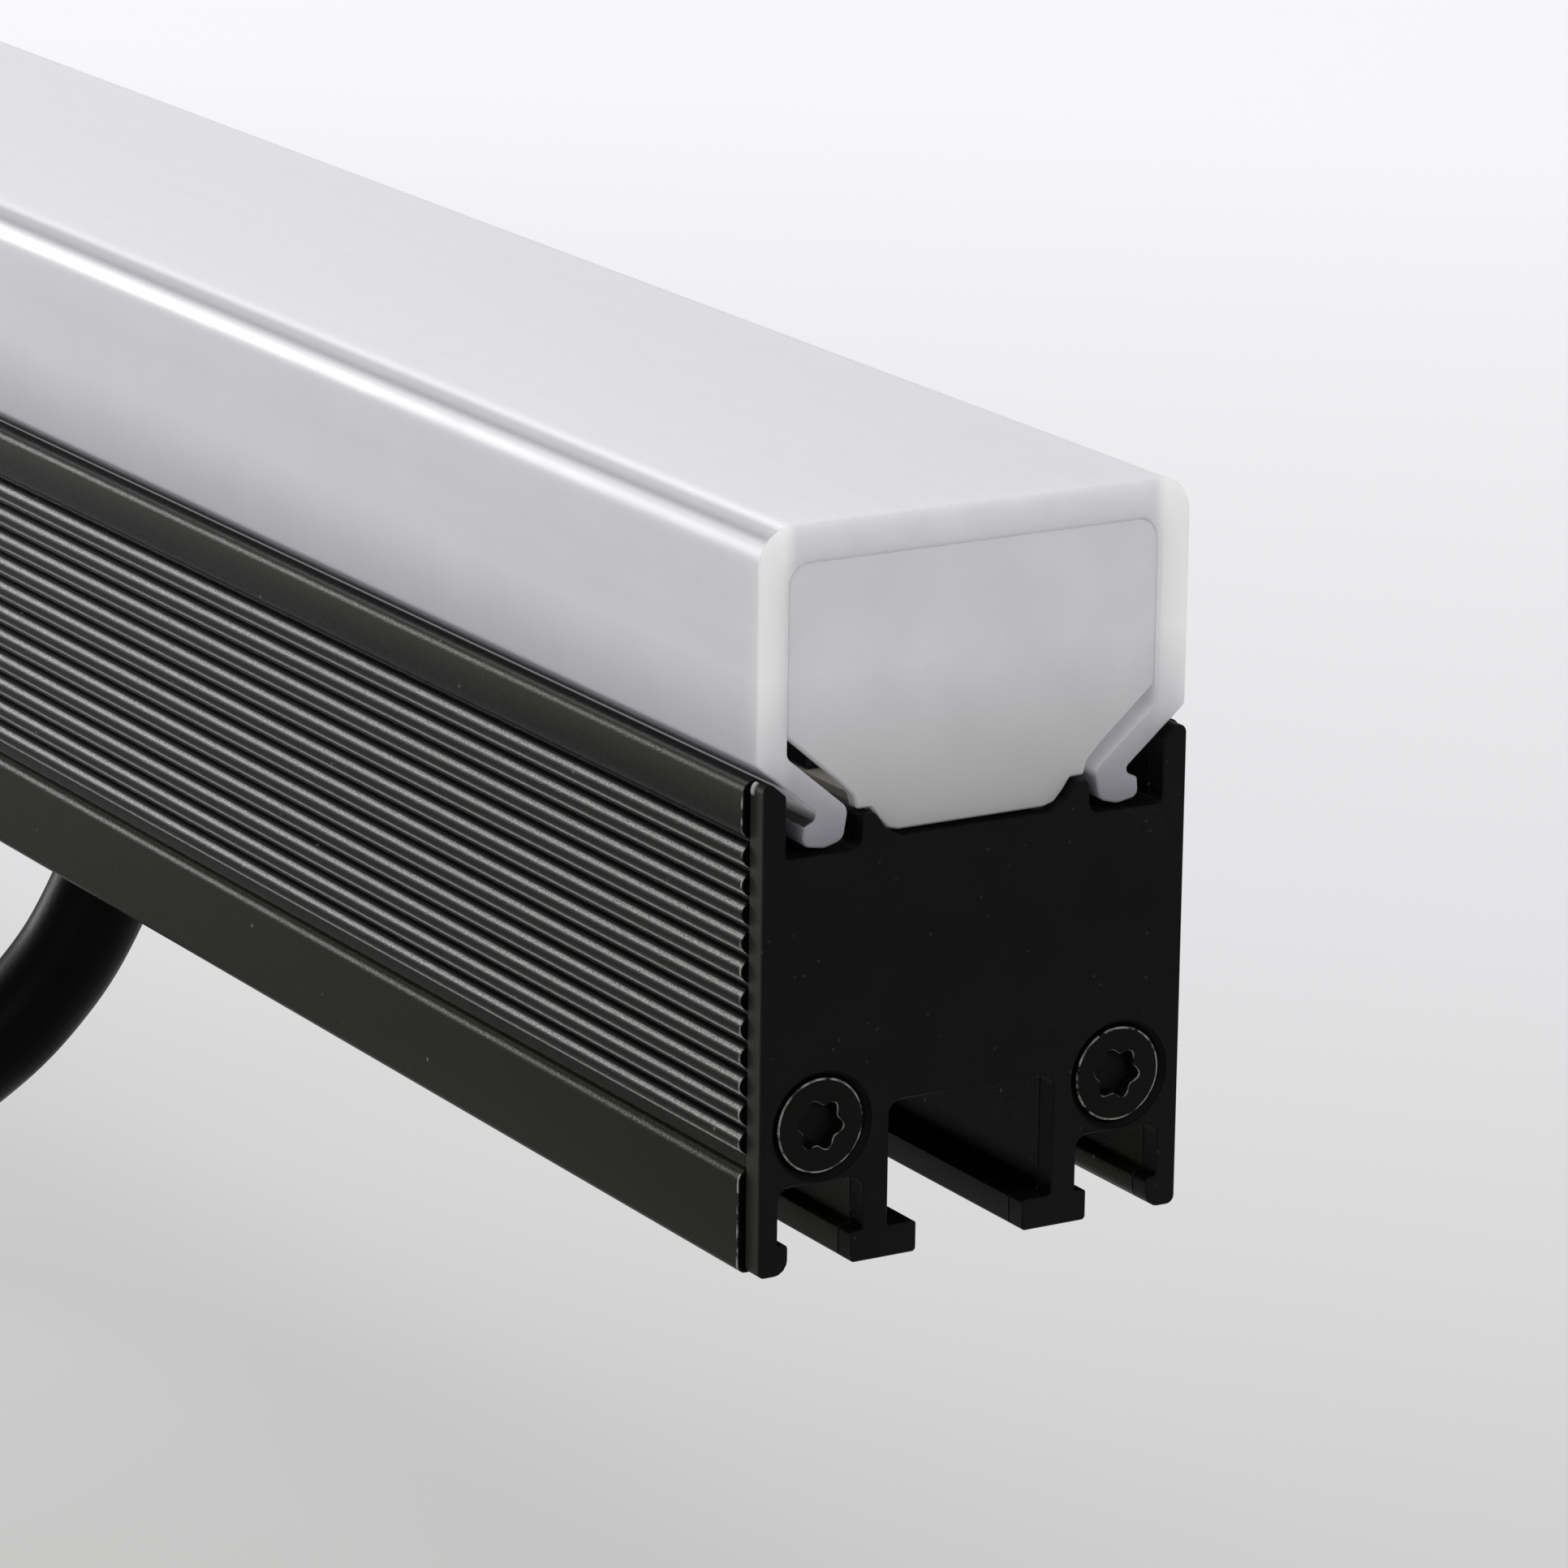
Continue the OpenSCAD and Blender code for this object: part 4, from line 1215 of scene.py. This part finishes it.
@dataclass
class Studio:
    """The pale floor and the soft lamps."""

    floor_half: float = 3.0
    fade_along: Point = (-0.705, 0.77)
    fade: Point = (-0.26, 0.34)
    own_share: float = 0.8
    world: float = 0.48
    aim: Place = (0.15, 0, 0.03)
    tones: tuple[tuple[float, str], ...] = (
        (0.0, "#bcbcb9"),
        (0.1, "#cbcbca"),
        (0.25, "#dadadb"),
        (0.4, "#e3e3e5"),
        (0.75, "#ecebed"),
        (1.0, "#f3f2f5"),
    )
    lamps: tuple[tuple[str, Place, Point, float], ...] = (
        ("far_side_lamp", (-2.7, -1.3, 0.45), (0.8, 0.86), 40.0),
        ("top_lamp", (-0.55, 0.1, 1.0), (0.9, 0.9), 9.6),
        ("near_side_lamp", (1.8, -2.2, 1.0), (1.2, 1.2), 7.5),
        ("end_lamp", (2.6, 0.4, 1.2), (1.2, 1.2), 19.0),
    )

    def build(self) -> None:
        """Makes the floor, the lamps and the plain surroundings."""
        self.floor()
        for lamp in self.lamps:
            self.lamp(*lamp)
        scene = bpy.context.scene
        scene.view_settings.view_transform = "Standard"
        scene.world = bpy.data.worlds.new("surroundings")
        made = fresh(scene.world)
        sky = made.node("Background", {"Color": "#ffffff", "Strength": self.world})
        made.node("OutputWorld", {0: sky.outputs[0]})

    def floor(self) -> None:
        """A pale floor that keeps a soft shadow and shows nearly white to the camera."""
        clear_selection()
        size = 2 * self.floor_half
        bpy.ops.mesh.primitive_grid_add(x_subdivisions=8, y_subdivisions=8, size=size)
        floor = bpy.context.active_object
        floor.name = "floor"
        material = bpy.data.materials.new("floor_paint")
        made = fresh(material)
        x, y, _ = made.axes(made.place())
        across = [made.product(v, share) for v, share in zip((x, y), self.fade_along)]
        paint = self.ramp(made, made.above(made.sums("ADD", *across), self.fade))
        plain = made.node("BsdfDiffuse", {"Color": paint})
        glow = made.node("Emission", {"Color": paint, "Strength": 1.0})
        path = made.node("LightPath").outputs
        seen = made.sums("MAXIMUM", path["Is Camera Ray"], path["Is Glossy Ray"])
        seen = made.sums("MAXIMUM", seen, path["Is Transmission Ray"])
        share = made.product(seen, self.own_share)
        mixed = made.node("MixShader", {0: share, 1: plain.outputs[0], 2: glow.outputs[0]})
        made.node("OutputMaterial", {0: mixed.outputs[0]})
        floor.data.materials.append(material)

    def ramp(self, made: Wiring, share: Any) -> bpy.types.NodeSocket:
        """The floor's soft change of tone, from near the camera to far away.

        Args:
            made: the floor's wiring.
            share: nothing near the camera and one far away.

        Returns:
            The output with the floor's tone.
        """
        node = made.node("ValToRGB", {0: share})
        steps = node.color_ramp.elements
        for place, colour in self.tones:
            step = steps[0] if place == 0 else steps[-1] if place == 1 else steps.new(place)
            step.color = hexed(colour)
        return node.outputs[0]

    def lamp(self, name: str, place: Place, size: Point, power: float) -> None:
        """Hangs a square soft lamp that faces the light.

        Args:
            name: the lamp's name.
            place: where it hangs, in metres.
            size: its width and height, in metres.
            power: its power, in watts.
        """
        data = bpy.data.lights.new(name, "AREA")
        data.shape = "RECTANGLE"
        data.size, data.size_y = size
        data.energy = power
        lamp = stand(name, data)
        lamp.location = place
        away = Vector(place) - Vector(self.aim)
        lamp.rotation_euler = away.to_track_quat("Z", "Y").to_euler()


@dataclass
class PowerLead:
    """The round lead and the waterproof connector at its end."""

    thickness: float = 7.5
    length: float = 397.0
    end: Place = (-174, -41, 9)
    relief_len: float = 22.0
    relief_grooves: int = 5
    ring_half: float = 9.0
    ring_at: float = 38.3
    knurls: int = 20
    groove: float = 0.5
    flutes: int = 10
    flute_out: float = 7.15
    threads: int = 10
    thread_pitch: float = 1.5
    route: list[Place] = field(
        default_factory=lambda: [
            (187, 0, 38), (186.7, -0.8, 31.1), (185.8, -3, 24.5), (184.4, -6.5, 18.6),
            (182.4, -11, 13.7), (179.4, -15.9, 9.7), (175.4, -20.8, 6.7), (170.6, -25.5, 4.8),
            (165.1, -29.7, 3.95), (159, -33.1, 3.8), (152.4, -35.4, 3.8), (145.4, -36.5, 3.8),
            (130, -37.2, 3.8), (112, -38.3, 3.8), (94, -39.8, 3.8), (76, -41.1, 3.8),
            (58, -41.7, 3.8), (40, -41.5, 3.8), (22, -40.8, 3.8), (4, -40, 3.8),
            (-14, -39.6, 3.8), (-32, -39.8, 3.8), (-50, -40.4, 3.8), (-68, -40.9, 3.8),
            (-86, -41, 4), (-102, -41, 4.6), (-116, -41, 5.6), (-130, -41, 7),
            (-143, -41, 8.2), (-155, -41, 8.8), (-166, -41, 9), (-174, -41, 9),
        ]
    )  # fmt: skip

    def build(self) -> None:
        """Makes the lead, then the connector's pieces."""
        lead, relief, grip, ring = self.lead(), self.relief(), self.grip(), self.ring()
        for node, finish in (
            ("connector_insert", WHITE_PLASTIC),
            ("contact_pins", BRASS),
            ("connector_seal", RED_SEAL),
        ):
            paint_node(node, finish)

    def lead(self) -> Piece:
        """One smooth curve through the route's points.

        Returns:
            The lead, as a curve with a round section.
        """
        data = bpy.data.curves.new("lead", "CURVE")
        data.dimensions = "3D"
        data.bevel_depth = self.thickness / 2 * MM
        data.bevel_resolution = 8
        data.use_fill_caps = True
        data.resolution_u = 8
        line = data.splines.new("BEZIER")
        line.bezier_points.add(len(self.route) - 1)
        for point, place in zip(line.bezier_points, self.route):
            point.co = Vector(place) * MM
            point.handle_left_type = point.handle_right_type = "AUTO"
        return dress(stand("lead", data), LEAD_RUBBER, Body.LIGHT, ["power_lead"])

    def at(self, shift: float = 0.0) -> Matrix:
        """Takes the Z axis along the connector, away from the lead."""
        x, y, z = self.end
        return along_x((x - shift, y, z), -1)

    def relief(self) -> Piece:
        """The tapered bend relief with its rounded grooves.

        Returns:
            The bend relief.
        """
        thin, thick, sunk = 4.8, 6.15, 4.45
        outer: list[tuple[float, ...]] = [(0, 0), (0, thin, 0.5)]
        pitch = self.relief_len / (self.relief_grooves + 1)
        for i in range(1, self.relief_grooves + 1):
            low, high = (i - 0.25) * pitch, (i + 0.25) * pitch
            slope = [thin + (thick - thin) * u / self.relief_len for u in (low, high)]
            outer += [(low, slope[0], 0.25), (low, sunk, 0.3)]
            outer += [(high, sunk, 0.3), (high, slope[1], 0.25)]
        outer += [(self.relief_len, thick), (self.relief_len, 0)]
        piece = turn("bend_relief_sleeve", rounded(outer, 3), self.at())
        return dress(smooth(piece), BLACK_PLASTIC, Body.LIGHT, ["bend_relief"])

    def grip(self) -> Piece:
        """The grip with finger flutes, its shoulder, neck and keyed nose.

        Returns:
            The grip.
        """
        profile = [
            (22, 0), (22, 6.1, 0.3), (22.4, 6.5, 0.3), (35.6, 6.5, 0.3), (36, 6.6, 0.1),
            (36, 7.2, 0.3), (38, 7.2, 0.3), (38, 5.6), (40.6, 5.6), (40.6, 6.5, 0.2),
            (41.45, 6.5, 0.15), (41.45, 5.0, 0.2), (43.35, 5.0, 0.2), (43.35, 6.5, 0.15),
            (57.1, 6.5, 0.4), (57.1, 5.1, 0.3), (44.1, 5.1), (44.1, 0),
        ]  # fmt: skip
        piece = turn("connector_body", rounded(profile, 3), self.at(), 72)
        x, y, z = self.end
        flute = rounded([(24, 0), (24, 1.1, 0.7), (34.4, 1.1, 0.7), (34.4, 0)], 4)
        flutes = []
        for i in range(self.flutes):
            a = math.tau * i / self.flutes
            aside, above = self.flute_out * math.sin(a), self.flute_out * math.cos(a)
            flutes.append(turn("flute", flute, along_x((x, y + aside, z + above), -1), 16))
        key = run_along(
            "key", [(-0.8, 0), (0.8, 0), (0.8, 0.9), (-0.8, 0.9)], x - 60, x - 44.1, z + 5.0, 0
        )
        key.data.transform(Matrix.Translation((0, y * MM, 0)))
        cut(piece, join("flutes", flutes), key)
        return present(piece, BLACK_PLASTIC, Body.LIGHT, ["connector_grip"])

    def ring(self) -> Piece:
        """The knurled coupling ring with a turned thread inside.

        Returns:
            The ring.
        """
        x, y, z = self.end
        steps = 7
        outline: list[Point] = []
        for i in range(self.knurls):
            a = math.tau * i / self.knurls
            for k in range(steps):
                b = a + math.tau / self.knurls * (k / steps - 0.5)
                off = abs(b - a) * self.ring_half
                radius = self.ring_half - math.sqrt(max(self.groove**2 - off**2, 0))
                outline.append((y + radius * math.cos(b), radius * math.sin(b)))
        low = x - self.ring_at
        piece = loft(
            "knurled_ring",
            [
                [(low - u, y + (q[0] - y) * s, z + q[1] * s) for q in outline]
                for u, s in ((0, 0.94), (0.5, 0.985), (1, 1), (19, 1), (19.5, 0.985), (20, 0.95))
            ],
        )
        bore: list[Point] = [(-1, 0), (-1, 5.9), (2, 5.9), (2, 6.9)]
        for i in range(self.threads):
            turned = 3 + self.thread_pitch * i
            bore += [(turned, 6.9), (turned + self.thread_pitch / 2, 7.2)]
        bore += [(18.6, 7.2), (21, 7.5), (21, 0)]
        cut(piece, turn("bore", bore, self.at(self.ring_at), 64))
        return present(piece, BLACK_PLASTIC, Body.RING, ["coupling_ring"])


def paint_node(node: str, finish: Finish) -> None:
    """Gives a CAD node that stays its finish.

    Args:
        node: the node's name.
        finish: its finish.
    """
    piece = bpy.data.objects[node]
    piece.data.materials.clear()
    piece.data.materials.append(finish.material())
    log.info("%s stays, in %s", node, finish.name)


@dataclass
class Housing:
    """The grooved profile with its slots, channels and bed."""

    half: float = 15.0
    lift: float = 34.0
    reach: float = 298.5
    rib_radius: float = 0.78
    rib_pitch: float = 1.74
    rib_turn: float = 80.4
    low_rib: float = 7.998
    low_band: float = 6.4
    ribs: int = 11
    lead_x: float = 187.0
    wire_x: float = 180.0
    screw_x: float = 276.0

    def underside(self) -> list[tuple[float, ...]]:
        """The right-hand underside with its slots, from the middle slot's ceiling outwards.

        Returns:
            The corners, each as y, z and, where it is rounded, its radius.
        """
        return [
            (0, 9.6), (5.7, 9.6, 0.8), (5.7, 1.9, 0.2), (3.7, 1.9, 0.2), (3.7, 0, 0.25),
            (8.195, 0, 0.25), (8.195, 1.9, 0.2), (7.4, 1.9, 0.15), (7.4, 5.35, 0.8),
            (13.2, 5.35, 0.8), (13.2, 1.9, 0.15), (12.495, 1.9, 0.4), (12.495, 0, 0.9),
        ]  # fmt: skip

    def top(self, side: float) -> list[tuple[float, ...]]:
        """The lip, the cover channel, the ridge and the bed, from a side inwards.

        Args:
            side: the Y of that side.

        Returns:
            The corners, each as y, z and, where it is rounded, its radius.
        """
        return [
            (side, 29.7, 0.9), (14.0, 30, 0.6), (12.95, 29.1, 0.4), (12.95, 25.25, 0.3),
            (7.85, 25.25, 0.7), (7.75, 27.35, 0.35), (6.95, 27.35, 0.3), (6.2, 26.35, 0.8),
            (5.1, 25.65, 0.8), (0, 25.65),
        ]  # fmt: skip

    def outline(self) -> list[Point]:
        """The whole profile.

        Returns:
            The points of the closed outline, in millimetres.
        """
        middle = self.half - self.rib_radius
        right = rounded([*self.underside(), (self.half, 0, 0.5), (self.half, 3.0)])[1:]
        low = (middle, self.low_band - self.rib_radius)
        right += arc(low, self.rib_radius, 0, self.rib_turn, 6)
        for k in range(self.ribs):
            centre = (middle, self.low_rib + k * self.rib_pitch)
            right += arc(centre, self.rib_radius, -self.rib_turn, self.rib_turn, 12)
        last = (middle, self.low_rib + self.ribs * self.rib_pitch)
        right += arc(last, self.rib_radius, -self.rib_turn, 0, 6)
        right += rounded([(self.half, 28.0), *self.top(self.half)])[1:-1]
        return both_sides(right)

    def build(self) -> None:
        """Makes the profile, cuts its bores and dresses it."""
        bar = run_along("grooved_bar", self.outline(), -self.reach, self.reach, self.lift, 0.06)
        far = self.reach + 2
        room = rounded([(0, 11.75), (12, 11.75, 1.5), (12, 23.35, 1.5), (0, 23.35)])[1:-1]
        chamber = run_along("chamber", both_sides(room), -far, far, self.lift, 0)
        ports = join(
            "ports",
            [
                run_along("port", arc((y, 8.8), 1.6, 0, 345, 23), -far, far, self.lift, 0)
                for y in (-10.3, 10.3)
            ],
        )
        bores = [
            post("notch", (self.lead_x, 0, self.lift - 1), 5.65, 3.9),
            post("neck_hole", (self.lead_x, 0, self.lift + 8.6), 4.3, 4.15),
            post("wire_hole", (self.wire_x, 0, self.lift + 22.35), 2.8, 4.3, 32),
        ]
        for x in (-self.screw_x, 0, self.screw_x):
            bores.append(post("screw_hole", (x, 0, self.lift + 22.35), 1.3, 4.3, 24))
        cut(bar, chamber, ports, join("bores", bores))
        present(bar, BLACK_BAR, Body.LIGHT, ["housing"])


@dataclass
class EndPlate:
    """A flat end plate with two countersunk star screws."""

    end: End
    bar: Housing
    half: float = 14.55
    thickness: float = 1.5
    length: float = 300.0
    screw_y: float = 10.3
    screw_z: float = 8.8
    threads: int = 20
    thread_pitch: float = 0.5
    first_thread: float = -11.6
    socket_turn: float = math.radians(20)
    sink: tuple[Point, ...] = (
        (-2.5, 0), (-2.5, 1.6), (-1.5, 1.6), (-1.5, 1.7), (-0.06, 3.38), (0.5, 3.42), (0.5, 0),
    )  # fmt: skip
    screw_tip: tuple[Point, ...] = ((-12.15, 0), (-12.15, 1.1))
    screw_head: tuple[Point, ...] = (
        (-1.55, 1.5), (-0.27, 2.85), (-0.2, 2.9), (-0.165, 2.87), (-0.15, 2.78), (-0.15, 0),
    )  # fmt: skip
    socket: tuple[Point, ...] = ((-1.05, 1.5), (-0.23, 1.6), (-0.15, 1.66), (0.2, 1.9))

    def node(self, name: str) -> str:
        """The name of this end's CAD node."""
        return f"{name}_{self.end.name.lower()}"

    def build(self) -> None:
        """Makes the plate, then the screws."""
        self.plate()
        self.screws()
        paint_node(self.node("chamber_seal"), DARK_SEAL)

    def spots(self) -> list[Matrix]:
        """Both screws' places on the outer face, with Z outwards.

        Returns:
            For each screw, what takes the Z axis to its place.
        """
        sign = self.end.value
        return [
            along_x((sign * self.length, y, self.bar.lift + self.screw_z), sign)
            for y in (-self.screw_y, self.screw_y)
        ]

    def plate(self) -> None:
        """The plate with the slots' outline and two countersinks."""
        corners = [*self.bar.underside(), (self.half, 0, 0.5), *self.bar.top(self.half)]
        outline = both_sides(rounded(corners)[1:-1])
        low, high = sorted(self.end.value * x for x in (self.length, self.length - self.thickness))
        plate = run_along(self.node("flat_plate"), outline, low, high, self.bar.lift, 0.09)
        for place in self.spots():
            cut(plate, turn("sink", self.sink, place, 64))
        present(plate, BLACK_PLATE, Body.LIGHT, [self.node("end_plate")])

    def screws(self) -> None:
        """Two countersunk screws with star sockets and cut threads."""
        made = []
        profile = list(self.screw_tip)
        for k in range(self.threads):
            crest = self.first_thread + self.thread_pitch * k
            profile += [(crest, 1.5), (crest + self.thread_pitch / 2, 1.22)]
        profile += self.screw_head
        for place in self.spots():
            screw = turn("screw", profile, place, 64)
            socket = loft(
                "socket", [[(y, z, h) for y, z in star(r, 0.12, 6, 48)] for h, r in self.socket]
            )
            socket.data.transform(in_metres(place @ Matrix.Rotation(self.socket_turn, 4, "Z")))
            made.append(cut(screw, socket))
        screws = join(self.node("star_screws"), made)
        # The narrow faces at the rims of the heads and sockets are marked, so that the wear paints
        # a bright ring there: partly wear, partly a painted highlight.
        mark_edges(smooth(screws), widest=0.12, sharpest=30)
        dress(screws, BLACK_SCREW, Body.LIGHT, [self.node("end_screws")])


@dataclass
class OpalCover:
    """The opal cover and the two plugs in its ends."""

    lift: float = 34.0
    reach: float = 299.5
    plug_out: float = 299.3
    plug_in: float = 298.3

    def outline(self) -> list[Point]:
        """The cover's section: a box with round edges on two sloping hooked legs.

        Returns:
            The points of the closed outline, in millimetres.
        """
        right = arc((12.4, 42.7), 2.3, 90, 0, 10)
        right += rounded(
            [
                (14.7, 40), (14.7, 31, 0.5), (13.8, 30.25, 0.3), (10.4, 27.42, 0.35),
                (11.45, 26.95, 0.3), (11.55, 25.75, 0.5), (10.1, 25.5, 0.8), (8.8, 25.85, 0.7),
                (8.5, 27.72, 0.8), (12.65, 31.2, 0.6), (12.65, 42.65, 1.5), (10, 42.65),
            ],
            5,
        )[1:-1]  # fmt: skip
        return both_sides(right)

    def plug_outline(self) -> list[Point]:
        """A plug's section, inside the cover and above the board.

        Returns:
            The points of the closed outline, in millimetres.
        """
        return both_sides(
            rounded(
                [
                    (0, 25.9), (5.0, 25.9, 0.3), (5.75, 26.1, 0.4), (6.35, 26.75, 0.4),
                    (6.85, 27.47, 0.2), (7.8, 27.5, 0.2), (8.0, 28.3, 0.3), (8.95, 29.3, 0.4),
                    (12.63, 32.47, 0.5), (12.63, 42.63, 1.5), (0, 42.63),
                ]
            )[1:-1]
        )  # fmt: skip

    def build(self) -> None:
        """Makes the cover, then its plugs."""
        cover = run_along("opal_profile", self.outline(), -self.reach, self.reach, self.lift, 0.1)
        present(cover, OPAL, Body.LIGHT, ["opal_cover"])
        for end in End:
            low, high = sorted((end.value * self.plug_in, end.value * self.plug_out))
            name = f"plug_{end.name.lower()}"
            plug = run_along(name, self.plug_outline(), low, high, self.lift, 0.12)
            present(plug, OPAL_PLUG, Body.LIGHT, [f"end_plug_{end.name.lower()}"])


@dataclass
class LampBoard:
    """The lamp board with its light sources and small parts."""

    top: float = 60.75
    pitch: float = 12.0
    rows: int = 23
    well_z: float = 0.35

    def build(self) -> None:
        """Makes the light sources and dresses the rest."""
        self.lamps()
        paint_node("lamp_board", BOARD)
        paint_node("heat_tape", TAPE)
        for node, name, finish, width in (
            ("driver_chips", "chips", BLACK_PLASTIC, 0.15),
            ("board_resistors", "resistors", BLACK_PLASTIC, 0.08),
            ("surge_blocks", "blocks", BLACK_PLASTIC, 0.3),
            ("board_screws", "pan_screws", STEEL, 0.3),
            ("wire_terminal", "terminal", WHITE_PLASTIC, 0.3),
        ):
            soften(node, name, width, finish)
        for node, finish in (
            ("wire_live", RED_WIRE),
            ("wire_return", BLACK_PLASTIC),
            ("gland_seal", DARK_SEAL),
        ):
            paint_node(node, finish)
        for part in ("body", "locknut"):
            soften(f"gland_{part}", f"gland_black_{part}", 0.3, BLACK_PLASTIC)

    def lamps(self) -> None:
        """One small case with a round phosphor well, copied to every place."""
        size = [(-1.75, -1.4), (1.75, -1.4), (1.75, 1.4), (-1.75, 1.4)]
        case = loft("case", [[(x, y, h) for x, y in size] for h in (0, 2 * self.well_z)])
        ease_edges(case, 0.12, segments=1)
        profile = [(self.well_z, 0), (self.well_z, 0.85), (0.9, 1.2), (0.9, 0)]
        well = turn("well", profile, Matrix(), 16)
        cut(case, well)
        for finish in (LAMP_CASE, PHOSPHOR):
            case.data.materials.append(finish.material())
        for face in case.data.polygons:
            if abs(face.center.z - self.well_z * MM) < 0.02 * MM and face.normal.z > 0.9:
                face.material_index = 1
        copies = []
        for k in range(self.rows):
            for s in (-1, 1):
                made = stand("lamp", case.data.copy())
                place = Vector((s * (k + 0.5) * self.pitch, 0, self.top))
                made.data.transform(Matrix.Translation(place * MM))
                copies.append(made)
        bpy.data.objects.remove(case)
        lamps = smooth(join("lamps", copies))
        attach(lamps, Body.LIGHT.value)
        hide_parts("light_sources")
        log.info("lamps ride on light, in %s and %s", LAMP_CASE.name, PHOSPHOR.name)


@dataclass
class Bracket:
    """One slot bracket: the slider in the slot and the tilting foot."""

    side: str
    slider: Body
    tilting: Body

    def build(self) -> None:
        """Eases and dresses every piece of the bracket."""
        for name, finish, body, width in (
            ("saddle", BLACK_BRACKET, self.slider, 0.35),
            ("slot_nut", STEEL, self.slider, 0.3),
            ("clamp_screws", STEEL, self.slider, 0.25),
            ("foot", BLACK_BRACKET, self.tilting, 0.4),
            ("tilt_pin", STEEL, self.tilting, 0.25),
            ("pin_nut", STEEL, self.tilting, 0.25),
            ("washers", STEEL, self.tilting, 0.12),
            ("friction_washers", WHITE_PLASTIC, self.tilting, 0.08),
        ):
            node = f"{self.side}_{name}"
            soften(node, f"{node}_eased", width, finish, body)


def main() -> None:
    """Builds the classes in order."""
    logging.basicConfig(level=logging.INFO, format="%(message)s")
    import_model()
    Viewpoint().build()
    PowerLead().build()
    housing = Housing()
    housing.build()
    for end in End:
        EndPlate(end, housing).build()
    OpalCover().build()
    LampBoard().build()
    Bracket("left", Body.LEFT_SLIDER, Body.LEFT_FOOT).build()
    Bracket("right", Body.RIGHT_SLIDER, Body.RIGHT_FOOT).build()
    Studio().build()


if __name__ == "__main__":
    main()
